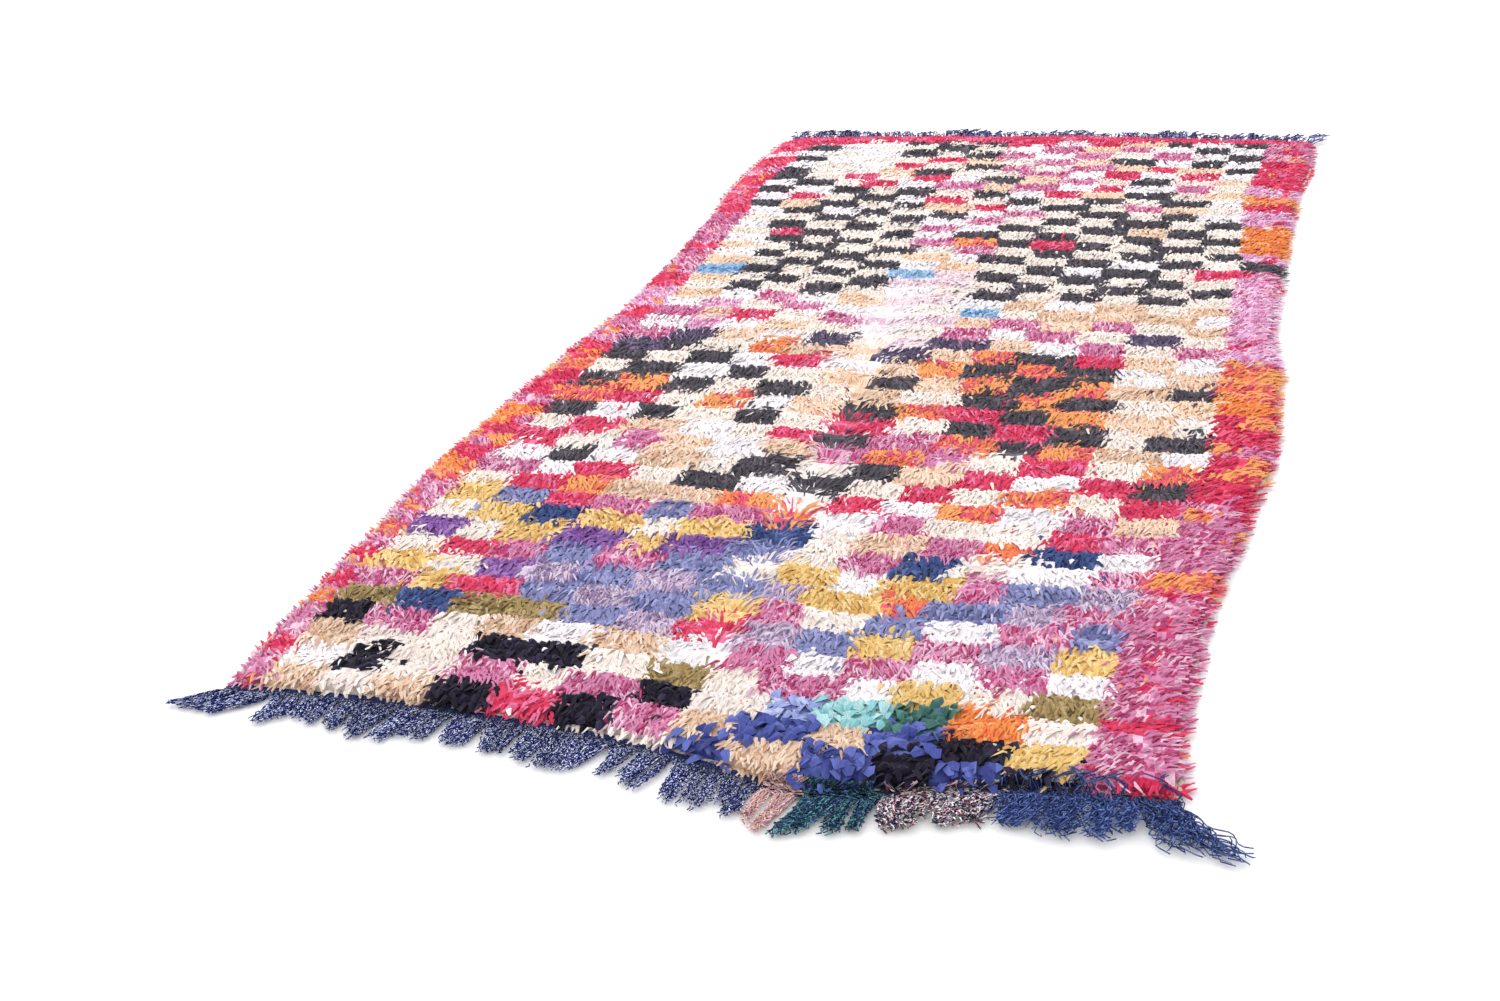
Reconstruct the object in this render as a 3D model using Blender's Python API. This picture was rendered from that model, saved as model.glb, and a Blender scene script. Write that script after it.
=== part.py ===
"""A shaggy rag rug lying flat, in metres, with +Z up and the floor at zero.

The rug's length runs along Y. Its near end, with the long fringe, faces -Y.
"""
import math

import bmesh
import bpy

# The cloth
COURSES = 53
INNER_COLUMNS = 21
EDGE_COLUMN_WIDTH = 0.018
END_ROW_DEPTH = 0.014
NEAR_Y = -1.330
FAR_Y = 1.275
FAR_BULGE = 0.028
PILE_HEIGHT = 0.0205
EDGE_HEIGHT = 0.0115
SHAG_LUMP = 0.0064
BORDER_WIDTH = 0.095
BORDER_LIFT = 0.0025
LEDGE = 0.0030
CREST_PLACE = 0.42
CREASE_DEPTH = 0.0060
CREASE_HALF_WIDTH = 0.045

# The side locks
SIDE_LOCK_REACH = 0.012
SIDE_LOCK_SPREAD = 0.016
SIDE_LOCK_TIP_HEIGHT = 0.0045

# The fringes
GAP = 0.0004
NEAR_HEADER_WIDTH = 0.014
FAR_HEADER_WIDTH = 0.009
HEADER_HEIGHT = 0.0045
STRAND_STEPS = 4
STRAND_BEVEL = 0.28
FAR_STRAND_STEPS = 3

# Where the pile's two long sides lie at their foot
SIDES = [
    dict(y=-1.33, left=-0.640, right=0.640),
    dict(y=-1.20, left=-0.646, right=0.624),
    dict(y=-0.95, left=-0.656, right=0.624),
    dict(y=-0.65, left=-0.678, right=0.652),
    dict(y=-0.42, left=-0.662, right=0.672),
    dict(y=-0.15, left=-0.638, right=0.664),
    dict(y=0.10, left=-0.618, right=0.640),
    dict(y=0.35, left=-0.644, right=0.630),
    dict(y=0.62, left=-0.642, right=0.632),
    dict(y=0.87, left=-0.630, right=0.627),
    dict(y=1.08, left=-0.640, right=0.638),
    dict(y=1.28, left=-0.638, right=0.640),
]

# The parting where the rug was folded along its middle
CREASE = [
    dict(y=-1.27, x=0.006),
    dict(y=-1.05, x=-0.014),
    dict(y=-0.90, x=-0.016),
    dict(y=-0.60, x=-0.016),
    dict(y=-0.25, x=-0.036),
    dict(y=0.05, x=-0.084),
    dict(y=0.28, x=-0.100),
]

# The near fringe, one row for each yarn, from left to right
NEAR_YARNS = [
    dict(name="marl", start=-0.6400, end=0.1550, locks=64, colour=(0.36, 0.40, 0.52)),
    dict(name="salmon", start=0.1554, end=0.2030, locks=4, colour=(0.60, 0.31, 0.22)),
    dict(name="green", start=0.2034, end=0.3000, locks=8, colour=(0.03, 0.17, 0.15)),
    dict(name="tweed", start=0.3004, end=0.4370, locks=11, colour=(0.27, 0.24, 0.28)),
    dict(name="blue", start=0.4374, end=0.6400, locks=16, colour=(0.05, 0.10, 0.30)),
]

# How far the near fringe reaches from its header
NEAR_REACH = [
    dict(x=-0.64, reach=0.062),
    dict(x=-0.54, reach=0.070),
    dict(x=-0.42, reach=0.088),
    dict(x=-0.30, reach=0.078),
    dict(x=-0.20, reach=0.086),
    dict(x=-0.12, reach=0.050),
    dict(x=0.00, reach=0.068),
    dict(x=0.12, reach=0.066),
    dict(x=0.22, reach=0.082),
    dict(x=0.30, reach=0.070),
    dict(x=0.38, reach=0.058),
    dict(x=0.50, reach=0.072),
    dict(x=0.58, reach=0.078),
    dict(x=0.64, reach=0.086),
]

# The tufts of curly yarn at the far end, with bare stretches between them
FAR_LOCKS = 70
FAR_TUFTS = [
    dict(x=-0.55, half_width=0.10, reach=0.036),
    dict(x=-0.18, half_width=0.07, reach=0.034),
    dict(x=0.07, half_width=0.06, reach=0.030),
    dict(x=0.33, half_width=0.05, reach=0.046),
    dict(x=0.51, half_width=0.06, reach=0.034),
    dict(x=0.62, half_width=0.04, reach=0.040),
]


def chance(a, b=0.0, c=0.0):
    """A repeatable number from 0 to 1 for up to three keys."""
    value = math.sin(a * 12.9898 + b * 78.233 + c * 37.719) * 43758.5453
    return value - math.floor(value)


def soft_noise(x, y, cell, key):
    """Smooth lumps from 0 to 1, as wide as the cell."""
    column, row = math.floor(x / cell), math.floor(y / cell)
    u, v = x / cell - column, y / cell - row
    u, v = u * u * (3 - 2 * u), v * v * (3 - 2 * v)
    low = chance(column, row, key) * (1 - u) + chance(column + 1, row, key) * u
    high = chance(column, row + 1, key) * (1 - u) + chance(column + 1, row + 1, key) * u
    return low * (1 - v) + high * v


def follow(table, key, wanted, place):
    """A smooth value between the rows of a short table."""
    if place <= table[0][key]:
        return table[0][wanted]
    for low, high in zip(table, table[1:]):
        if place <= high[key]:
            share = (place - low[key]) / (high[key] - low[key])
            share = share * share * (3 - 2 * share)
            return low[wanted] + (high[wanted] - low[wanted]) * share
    return table[-1][wanted]


def near_edge(x):
    """The pile's near edge, which bulges where the heavy rags hang over the header."""
    bulge = 0.064 * math.exp(-((x - 0.21) / 0.21) ** 2)
    dip = 0.010 * math.exp(-((x + 0.42) / 0.16) ** 2)
    return NEAR_Y - bulge + dip


def far_edge(x):
    return FAR_Y + FAR_BULGE * (1 - (x / 0.64) ** 2)


def pile_top(x, y, to_side, to_end):
    """The pile's height, from how far a point lies from the side and from the end."""
    height = PILE_HEIGHT + SHAG_LUMP * (soft_noise(x, y, 0.13, 1) - 0.5)
    height += SHAG_LUMP * (soft_noise(x, y, 0.055, 2) - 0.5)
    border = max(0.0, 1.0 - to_side / BORDER_WIDTH)
    height += BORDER_LIFT * math.sin(math.pi * border)
    heavy = math.exp(-((x - 0.24) / 0.24) ** 2) * math.exp(-((y + 1.34) / 0.06) ** 2)
    height += 0.007 * heavy
    middle = follow(CREASE, "y", "x", y)
    depth = min(1.0, max(0.0, (0.42 - y) / 0.25))
    height -= CREASE_DEPTH * depth * math.exp(-((x - middle) / CREASE_HALF_WIDTH) ** 2)
    edge = min(1.0, to_side / 0.040, (to_end + 0.006) / 0.034)
    return EDGE_HEIGHT + (height - EDGE_HEIGHT) * math.sin(0.5 * math.pi * max(0.0, edge))


def grow_lock(mesh, face, sections):
    """Draw one face out into a tapering lock through the given rings of points."""
    ring = list(face.verts)
    mesh.faces.remove(face)
    for section in sections:
        tip = [mesh.verts.new(point) for point in section]
        for k in range(4):
            mesh.faces.new((ring[k], ring[(k + 1) % 4], tip[(k + 1) % 4], tip[k]))
        ring = tip
    mesh.faces.new(ring)


def finish(mesh, name, colour, roughness):
    """Turn a closed mesh into a named object with its own material."""
    mesh.normal_update()
    bmesh.ops.triangulate(mesh, faces=mesh.faces[:])
    data = bpy.data.meshes.new(name)
    mesh.to_mesh(data)
    mesh.free()
    part = bpy.data.objects.new(name, data)
    bpy.context.scene.collection.objects.link(part)
    material = bpy.data.materials.new(name + "_cloth")
    material.use_nodes = True
    shader = next(n for n in material.node_tree.nodes if n.type == "BSDF_PRINCIPLED")
    shader.inputs["Base Color"].default_value = (*colour, 1.0)
    shader.inputs["Roughness"].default_value = roughness
    shader.inputs["Metallic"].default_value = 0.0
    data.materials.append(material)
    return part


def build_rug():
    """The ground and its pile as one slab with a level underside."""
    span = FAR_Y - NEAR_Y
    places = [(0.0, 0), (END_ROW_DEPTH / span, 0)]
    for k in range(1, 2 * COURSES):
        course, on_crest = divmod(k, 2)
        share = (course + CREST_PLACE * on_crest) / COURSES
        places.append((0.012 + 0.976 * share, 1 if on_crest else -1))
    places += [(1.0 - END_ROW_DEPTH / span, 0), (1.0, 0)]
    mesh = bmesh.new()
    top, bottom_left, bottom_right = [], [], []
    near_line, far_line = [], []
    for i, (t, ledge) in enumerate(places):
        y_mean = NEAR_Y + t * span
        left = follow(SIDES, "y", "left", y_mean)
        right = follow(SIDES, "y", "right", y_mean)
        inner = right - left - 2 * EDGE_COLUMN_WIDTH
        across = [left]
        across += [left + EDGE_COLUMN_WIDTH + inner * j / INNER_COLUMNS for j in range(INNER_COLUMNS + 1)]
        across += [right]
        row = []
        for x in across:
            y = near_edge(x) + t * (far_edge(x) - near_edge(x))
            to_side = min(x - left, right - x)
            to_end = min(y - near_edge(x), far_edge(x) - y)
            z = pile_top(x, y, to_side, to_end)
            if to_side > 0.001:
                z += LEDGE * ledge
            row.append(mesh.verts.new((x, y, z)))
            if i == 0:
                near_line.append((x, y))
            if i == len(places) - 1:
                far_line.append((x, y))
        top.append(row)
        bottom_left.append(mesh.verts.new((row[0].co.x, row[0].co.y, 0.0)))
        bottom_right.append(mesh.verts.new((row[-1].co.x, row[-1].co.y, 0.0)))
    count = len(top[0])
    for low, high in zip(top, top[1:]):
        for j in range(count - 1):
            mesh.faces.new((low[j], low[j + 1], high[j + 1], high[j]))
    near_foot = [bottom_left[0]]
    near_foot += [mesh.verts.new((v.co.x, v.co.y, 0.0)) for v in top[0][1:-1]]
    near_foot += [bottom_right[0]]
    far_foot = [bottom_left[-1]]
    far_foot += [mesh.verts.new((v.co.x, v.co.y, 0.0)) for v in top[-1][1:-1]]
    far_foot += [bottom_right[-1]]
    for j in range(count - 1):
        mesh.faces.new((near_foot[j], near_foot[j + 1], top[0][j + 1], top[0][j]))
        mesh.faces.new((far_foot[j + 1], far_foot[j], top[-1][j], top[-1][j + 1]))
    last = len(top) - 1
    for i in range(last):
        near_row = near_foot if i == 0 else [bottom_left[i], bottom_right[i]]
        far_row = far_foot if i == last - 1 else [bottom_left[i + 1], bottom_right[i + 1]]
        mesh.faces.new(list(reversed(near_row)) + list(far_row))
    left_walls, right_walls = [], []
    for i in range(last):
        ring = (bottom_left[i + 1], bottom_left[i], top[i][0], top[i + 1][0])
        left_walls.append(mesh.faces.new(ring))
        ring = (bottom_right[i], bottom_right[i + 1], top[i + 1][-1], top[i][-1])
        right_walls.append(mesh.faces.new(ring))
    for side, walls in ((-1, left_walls), (1, right_walls)):
        for i in range(1, last - 1, 2):
            grow_side_lock(mesh, walls[i], side, i)
    return finish(mesh, "rug", (0.66, 0.47, 0.42), 0.95), near_line, far_line


def grow_side_lock(mesh, wall, side, number):
    """One lock of border pile, hanging over the ground's side cord to the floor."""
    reach = SIDE_LOCK_REACH + SIDE_LOCK_SPREAD * chance(number, side, 5.0)
    lean = -0.006 + 0.008 * (chance(number, side, 6.0) - 0.5)
    start = [v.co.copy() for v in wall.verts]
    middle_y = sum(p.y for p in start) / 4
    sections = []
    for share, spread, height in ((0.55, 0.72, 0.0085), (1.0, 0.30, SIDE_LOCK_TIP_HEIGHT)):
        section = []
        for k, point in enumerate(start):
            y = middle_y + (point.y - middle_y) * spread + lean * share
            z = 0.0 if k < 2 else height
            section.append((point.x + side * reach * share, y, z))
        sections.append(section)
    grow_lock(mesh, wall, sections)


def near_path(x, reach, share):
    """The middle of a near strand on the floor, a share of the way to its tip."""
    left_swing = -0.052 * math.exp(-((x + 0.64) / 0.055) ** 2)
    right_swing = 0.066 * math.exp(-((x - 0.64) / 0.060) ** 2)
    swing = left_swing + right_swing - 0.008 + 0.006 * math.sin(x * 21.0)
    clump = -0.0042 * math.sin(2 * math.pi * x / 0.048)
    wave = 0.0035 * math.sin(math.pi * share * 1.5) * math.sin(x * 33.0 + 1.0)
    across = x + swing * share ** 1.4 + clump * share + wave
    return across, near_edge(x) - GAP - NEAR_HEADER_WIDTH - reach * share


def far_path(x, reach, share):
    """The middle of a far strand on the floor, a share of the way to its tip."""
    swing = 0.030 * math.exp(-((x - 0.64) / 0.05) ** 2)
    clump = -0.0050 * math.sin(2 * math.pi * x / 0.072)
    across = x + swing * share + clump * share
    return across, far_edge(x) + GAP + FAR_HEADER_WIDTH + reach * share


def strand_sections(path, x, reach, half_width, rise, steps, heading):
    """Rings of a strand that lies level on the floor and thins to its tip."""
    sections = []
    for k in range(1, steps + 1):
        share = k / steps
        before = path(x, reach, share - 0.5 / steps)
        here = path(x, reach, share)
        run = (here[0] - before[0], here[1] - before[1])
        length = math.hypot(*run)
        side = (heading * run[1] / length, -heading * run[0] / length)
        wide = half_width * (1 - 0.52 * share)
        height = HEADER_HEIGHT * (1 - 0.45 * share) + rise * math.sin(math.pi * min(0.85, share))
        a = (here[0] - side[0] * wide, here[1] - side[1] * wide)
        b = (here[0] + side[0] * wide, here[1] + side[1] * wide)
        c = (b[0] + (a[0] - b[0]) * STRAND_BEVEL, b[1] + (a[1] - b[1]) * STRAND_BEVEL)
        d = (a[0] + (b[0] - a[0]) * STRAND_BEVEL, a[1] + (b[1] - a[1]) * STRAND_BEVEL)
        sections.append([(*a, 0.0), (*b, 0.0), (*c, height), (*d, height)])
    return sections


def build_fringe(name, colour, edge_line, start, end, locks, header, heading, path, reach_at, rise, steps):
    """A header strip with its strands, parted from the cloth's edge by a hair's breadth."""
    edge = near_edge if heading < 0 else far_edge
    inside = [p for p in edge_line if start + 0.0006 < p[0] < end - 0.0006]

    def on_line(x):
        for low, high in zip(edge_line, edge_line[1:]):
            if low[0] - 1e-9 <= x <= high[0] + 1e-9:
                return low[1] + (high[1] - low[1]) * (x - low[0]) / (high[0] - low[0])
        return edge(x)

    back = [(start, on_line(start))] + inside + [(end, on_line(end))]
    back = [(x, y + heading * GAP) for x, y in back]
    cells = 2 * locks + 1
    front = []
    for k in range(cells + 1):
        x = start + (end - start) * k / cells
        front.append((x, edge(x) + heading * (GAP + header)))
    mesh = bmesh.new()
    low_back = [mesh.verts.new((x, y, 0.0)) for x, y in back]
    high_back = [mesh.verts.new((x, y, HEADER_HEIGHT)) for x, y in back]
    low_front = [mesh.verts.new((x, y, 0.0)) for x, y in front]
    high_front = [mesh.verts.new((x, y, HEADER_HEIGHT)) for x, y in front]

    def add(points):
        return mesh.faces.new(points if heading < 0 else list(reversed(points)))

    add(high_front + list(reversed(high_back)))
    add(low_back + list(reversed(low_front)))
    for j in range(len(back) - 1):
        add([low_back[j + 1], low_back[j], high_back[j], high_back[j + 1]])
    add([low_back[0], low_front[0], high_front[0], high_back[0]])
    add([low_front[-1], low_back[-1], high_back[-1], high_front[-1]])
    half_width = (end - start) / cells / 2
    for k in range(cells):
        face = add([low_front[k], low_front[k + 1], high_front[k + 1], high_front[k]])
        if k % 2 == 0:
            continue
        x = start + (end - start) * (k + 0.5) / cells
        reach = reach_at(x)
        sections = strand_sections(path, x, reach, half_width, rise, steps, heading)
        if heading > 0:
            sections = [list(reversed(s)) for s in sections]
        grow_lock(mesh, face, sections)
    return finish(mesh, name, colour, 0.9)


def near_reach(x):
    reach = follow(NEAR_REACH, "x", "reach", x)
    return reach * (0.90 + 0.20 * chance(round(x * 2000), 3.0))


def far_reach(x):
    reach = 0.007
    for tuft in FAR_TUFTS:
        inside = max(0.0, 1.0 - ((x - tuft["x"]) / tuft["half_width"]) ** 2)
        reach = max(reach, tuft["reach"] * inside ** 0.5)
    return reach * (0.82 + 0.36 * chance(round(x * 2000), 4.0))


def build_all():
    for old in list(bpy.data.objects):
        bpy.data.objects.remove(old, do_unlink=True)
    rug, near_line, far_line = build_rug()
    for yarn in NEAR_YARNS:
        build_fringe(
            "fringe_near_" + yarn["name"], yarn["colour"], near_line, yarn["start"], yarn["end"],
            yarn["locks"], NEAR_HEADER_WIDTH, -1, near_path, near_reach, 0.0022, STRAND_STEPS)
    build_fringe(
        "fringe_far", (0.10, 0.13, 0.28), far_line, -0.6380, 0.6400,
        FAR_LOCKS, FAR_HEADER_WIDTH, 1, far_path, far_reach, 0.009, FAR_STRAND_STEPS)


build_all()
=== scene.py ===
"""The looks of a shaggy boucherouite rug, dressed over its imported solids.

Metres, +Z up, the floor at zero. The rug's length runs along Y and its long fringe faces -Y.
"""

import math

import bmesh
import bpy
import numpy as np
from mathutils import Matrix, Vector
from mathutils.bvhtree import BVHTree


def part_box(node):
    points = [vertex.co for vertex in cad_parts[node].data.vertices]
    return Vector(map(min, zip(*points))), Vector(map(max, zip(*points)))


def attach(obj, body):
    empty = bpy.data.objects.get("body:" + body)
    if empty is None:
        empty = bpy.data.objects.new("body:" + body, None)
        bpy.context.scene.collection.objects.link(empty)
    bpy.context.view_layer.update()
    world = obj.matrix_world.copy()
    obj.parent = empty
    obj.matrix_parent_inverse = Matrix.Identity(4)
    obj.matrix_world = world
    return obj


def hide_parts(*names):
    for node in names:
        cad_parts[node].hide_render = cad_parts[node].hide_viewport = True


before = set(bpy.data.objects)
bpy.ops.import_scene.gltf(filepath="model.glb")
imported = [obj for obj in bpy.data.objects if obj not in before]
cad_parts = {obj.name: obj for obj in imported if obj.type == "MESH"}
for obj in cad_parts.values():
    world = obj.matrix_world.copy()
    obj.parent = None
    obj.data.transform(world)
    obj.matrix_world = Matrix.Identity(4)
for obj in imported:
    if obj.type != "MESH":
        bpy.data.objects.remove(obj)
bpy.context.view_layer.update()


# The woven ground.
# A tight flat weave of cotton warps and wool wefts, four millimetres thick, made on an upright
# loom. The rags are knotted into it in level rows, so its back shows a pip of each between wefts.

NEAR_Y = -1.330
FAR_Y = 1.275
FAR_BULGE = 0.028
HALF_WIDTH = 0.64
GROUND_THICKNESS = 0.004
GROUND_INSET = 0.006
GROUND_COLUMNS = 40
GROUND_ROWS = 96
KNOT_PITCH_X = 0.0086
KNOT_PITCH_Y = 0.0082
KNOT_GAP_X = 0.22
KNOT_GAP_Y = 0.42
WOOL_SHADES = [(178, 166, 148), (226, 216, 198)]

# Where the near edge swells out under the heavy rags, and where it draws back
NEAR_SWELLS = [
    dict(x=0.21, half_width=0.21, out=0.064),
    dict(x=-0.42, half_width=0.16, out=-0.010),
]

# Where the pile's two long sides lie at their foot, and how wide the border is along each
SIDES = [
    dict(y=-1.33, left=-0.650, right=0.640, left_border=0.052, right_border=0.120),
    dict(y=-1.20, left=-0.660, right=0.624, left_border=0.055, right_border=0.089),
    dict(y=-0.95, left=-0.670, right=0.626, left_border=0.056, right_border=0.096),
    dict(y=-0.65, left=-0.684, right=0.654, left_border=0.089, right_border=0.089),
    dict(y=-0.42, left=-0.674, right=0.674, left_border=0.094, right_border=0.089),
    dict(y=-0.15, left=-0.658, right=0.664, left_border=0.089, right_border=0.092),
    dict(y=0.10, left=-0.634, right=0.638, left_border=0.084, right_border=0.074),
    dict(y=0.35, left=-0.630, right=0.634, left_border=0.080, right_border=0.075),
    dict(y=0.62, left=-0.645, right=0.632, left_border=0.086, right_border=0.090),
    dict(y=0.87, left=-0.676, right=0.632, left_border=0.084, right_border=0.106),
    dict(y=1.08, left=-0.678, right=0.648, left_border=0.098, right_border=0.108),
    dict(y=1.28, left=-0.666, right=0.644, left_border=0.102, right_border=0.094),
]

# The rags and yarns, each as the shades it is made of and their shares, in screen colours
RAGS = {
    "cream": [((245, 235, 226), 0.5), ((238, 223, 212), 0.3), ((250, 243, 237), 0.2)],
    "pale": [((241, 231, 223), 0.5), ((232, 219, 211), 0.3), ((247, 240, 235), 0.2)],
    "white": [((243, 238, 239), 0.5), ((235, 229, 234), 0.3), ((249, 246, 248), 0.2)],
    "peach": [((242, 210, 183), 0.5), ((240, 221, 204), 0.3), ((230, 190, 156), 0.2)],
    "tan": [((226, 195, 168), 0.5), ((237, 214, 193), 0.3), ((210, 170, 140), 0.2)],
    "charcoal": [((78, 73, 82), 0.5), ((62, 58, 66), 0.3), ((100, 93, 103), 0.2)],
    "plum": [((94, 82, 110), 0.5), ((72, 62, 88), 0.3), ((120, 106, 136), 0.2)],
    "black": [((30, 24, 44), 0.5), ((20, 16, 32), 0.3), ((46, 40, 64), 0.2)],
    "raspberry": [((220, 66, 102), 0.5), ((204, 46, 84), 0.25), ((228, 116, 156), 0.25)],
    "crimson": [((220, 58, 98), 0.5), ((204, 38, 80), 0.3), ((232, 98, 128), 0.2)],
    "orange": [((238, 144, 76), 0.5), ((234, 118, 66), 0.25), ((242, 170, 108), 0.25)],
    "ember": [((241, 164, 102), 0.54), ((222, 88, 112), 0.26), ((238, 130, 86), 0.20)],
    "rose": [((217, 138, 178), 0.50), ((190, 72, 124), 0.24), ((238, 196, 216), 0.26)],
    "orchid": [((232, 176, 212), 0.50), ((210, 124, 174), 0.20), ((244, 212, 232), 0.30)],
    "blush": [((230, 208, 216), 0.45), ((237, 224, 228), 0.35), ((216, 178, 194), 0.20)],
    "yellow": [((232, 195, 122), 0.5), ((240, 210, 150), 0.3), ((214, 168, 94), 0.2)],
    "denim": [((130, 134, 180), 0.5), ((154, 158, 204), 0.3), ((104, 108, 156), 0.2)],
    "navy": [((60, 80, 134), 0.5), ((46, 62, 110), 0.3), ((84, 106, 158), 0.2)],
    "lilac": [((196, 174, 202), 0.45), ((220, 206, 226), 0.30), ((156, 134, 170), 0.25)],
    "purple": [((142, 96, 168), 0.5), ((118, 74, 148), 0.3), ((164, 124, 186), 0.2)],
    "olive": [((160, 136, 88), 0.5), ((182, 160, 114), 0.3), ((124, 106, 66), 0.2)],
    "sky": [((138, 178, 216), 0.6), ((168, 202, 228), 0.3), ((98, 148, 200), 0.1)],
    "aqua": [((140, 202, 206), 0.6), ((178, 222, 224), 0.4)],
    "periwinkle": [((152, 164, 216), 0.6), ((188, 196, 234), 0.4)],
    "green": [((62, 108, 100), 0.5), ((80, 130, 120), 0.3), ((76, 104, 144), 0.2)],
    "royal": [((74, 84, 156), 0.5), ((96, 108, 182), 0.3), ((56, 62, 130), 0.2)],
}
RAG_NAMES = list(RAGS)
RAG_INDEX = {name: k for k, name in enumerate(RAG_NAMES)}


def chance(a, b=0.0, c=0.0):
    """Repeatable numbers from 0 to 1 for up to three keys."""
    value = np.sin(np.asarray(a) * 12.9898 + np.asarray(b) * 78.233 + c * 37.719) * 43758.5453
    return value - np.floor(value)


def soft_noise(x, y, cell, key):
    """Smooth lumps from 0 to 1, as wide as the cell, and others for each key."""
    column, row = np.floor(x / cell), np.floor(y / cell)
    u, v = x / cell - column, y / cell - row
    u, v = u * u * (3 - 2 * u), v * v * (3 - 2 * v)
    low = chance(column, row, key) * (1 - u) + chance(column + 1, row, key) * u
    high = chance(column, row + 1, key) * (1 - u) + chance(column + 1, row + 1, key) * u
    return low * (1 - v) + high * v


def follow(table, key, wanted, place):
    """Smooth values between the rows of a short table."""
    places = np.array([row[key] for row in table])
    values = np.array([row[wanted] for row in table])
    at = np.clip(np.searchsorted(places, place) - 1, 0, len(places) - 2)
    share = np.clip((place - places[at]) / (places[at + 1] - places[at]), 0, 1)
    share = share * share * (3 - 2 * share)
    return values[at] + (values[at + 1] - values[at]) * share


def swell(place, middle, half_width):
    """A smooth rise to one at the middle, nearly gone two half widths away."""
    return np.exp(-((place - middle) / half_width) ** 2)


def near_edge(x):
    """The cloth's near edge."""
    edge = NEAR_Y
    for row in NEAR_SWELLS:
        edge = edge - row["out"] * swell(x, row["x"], row["half_width"])
    return edge


def far_edge(x):
    """The cloth's far edge, which bows out in the middle."""
    return FAR_Y + FAR_BULGE * (1 - (x / HALF_WIDTH) ** 2)


def linear(colour):
    """A screen colour of 0 to 255 as the linear light that shaders work in."""
    share = np.asarray(colour, float) / 255
    return np.where(share <= 0.04045, share / 12.92, ((share + 0.055) / 1.055) ** 2.4)


# How the check bricks lie: thirteen columns between the borders, and how many courses lie between
# each place along the rug and the far band. Courses, borders and joints all wander a little.
BRICK_COLUMNS = 13
COURSE_PLACES = [
    dict(y=-1.400, courses=50.4),
    dict(y=-1.120, courses=45.3),
    dict(y=-0.720, courses=38.1),
    dict(y=-0.420, courses=32.9),
    dict(y=-0.080, courses=27.3),
    dict(y=0.180, courses=22.3),
    dict(y=0.650, courses=12.5),
    dict(y=1.245, courses=0.3),
    dict(y=1.260, courses=0.0),
]
COURSE_YS = [place["y"] for place in COURSE_PLACES]
COURSE_COUNTS = [place["courses"] for place in COURSE_PLACES]
COURSE_WANDER = 0.018
COURSE_RAGGEDNESS = 0.008
BORDER_WANDER = 0.010
JOINT_WANDER = 0.36

# A rag's tip lies about this far nearer than its knot
PILE_DRIFT = 0.018

# Where the raspberry band along the far end starts
FAR_BAND = [
    dict(x=-0.66, y=1.215),
    dict(x=-0.48, y=1.212),
    dict(x=-0.40, y=1.236),
    dict(x=-0.08, y=1.246),
    dict(x=0.02, y=1.252),
    dict(x=0.40, y=1.250),
    dict(x=0.50, y=1.240),
    dict(x=0.66, y=1.238),
]

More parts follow.
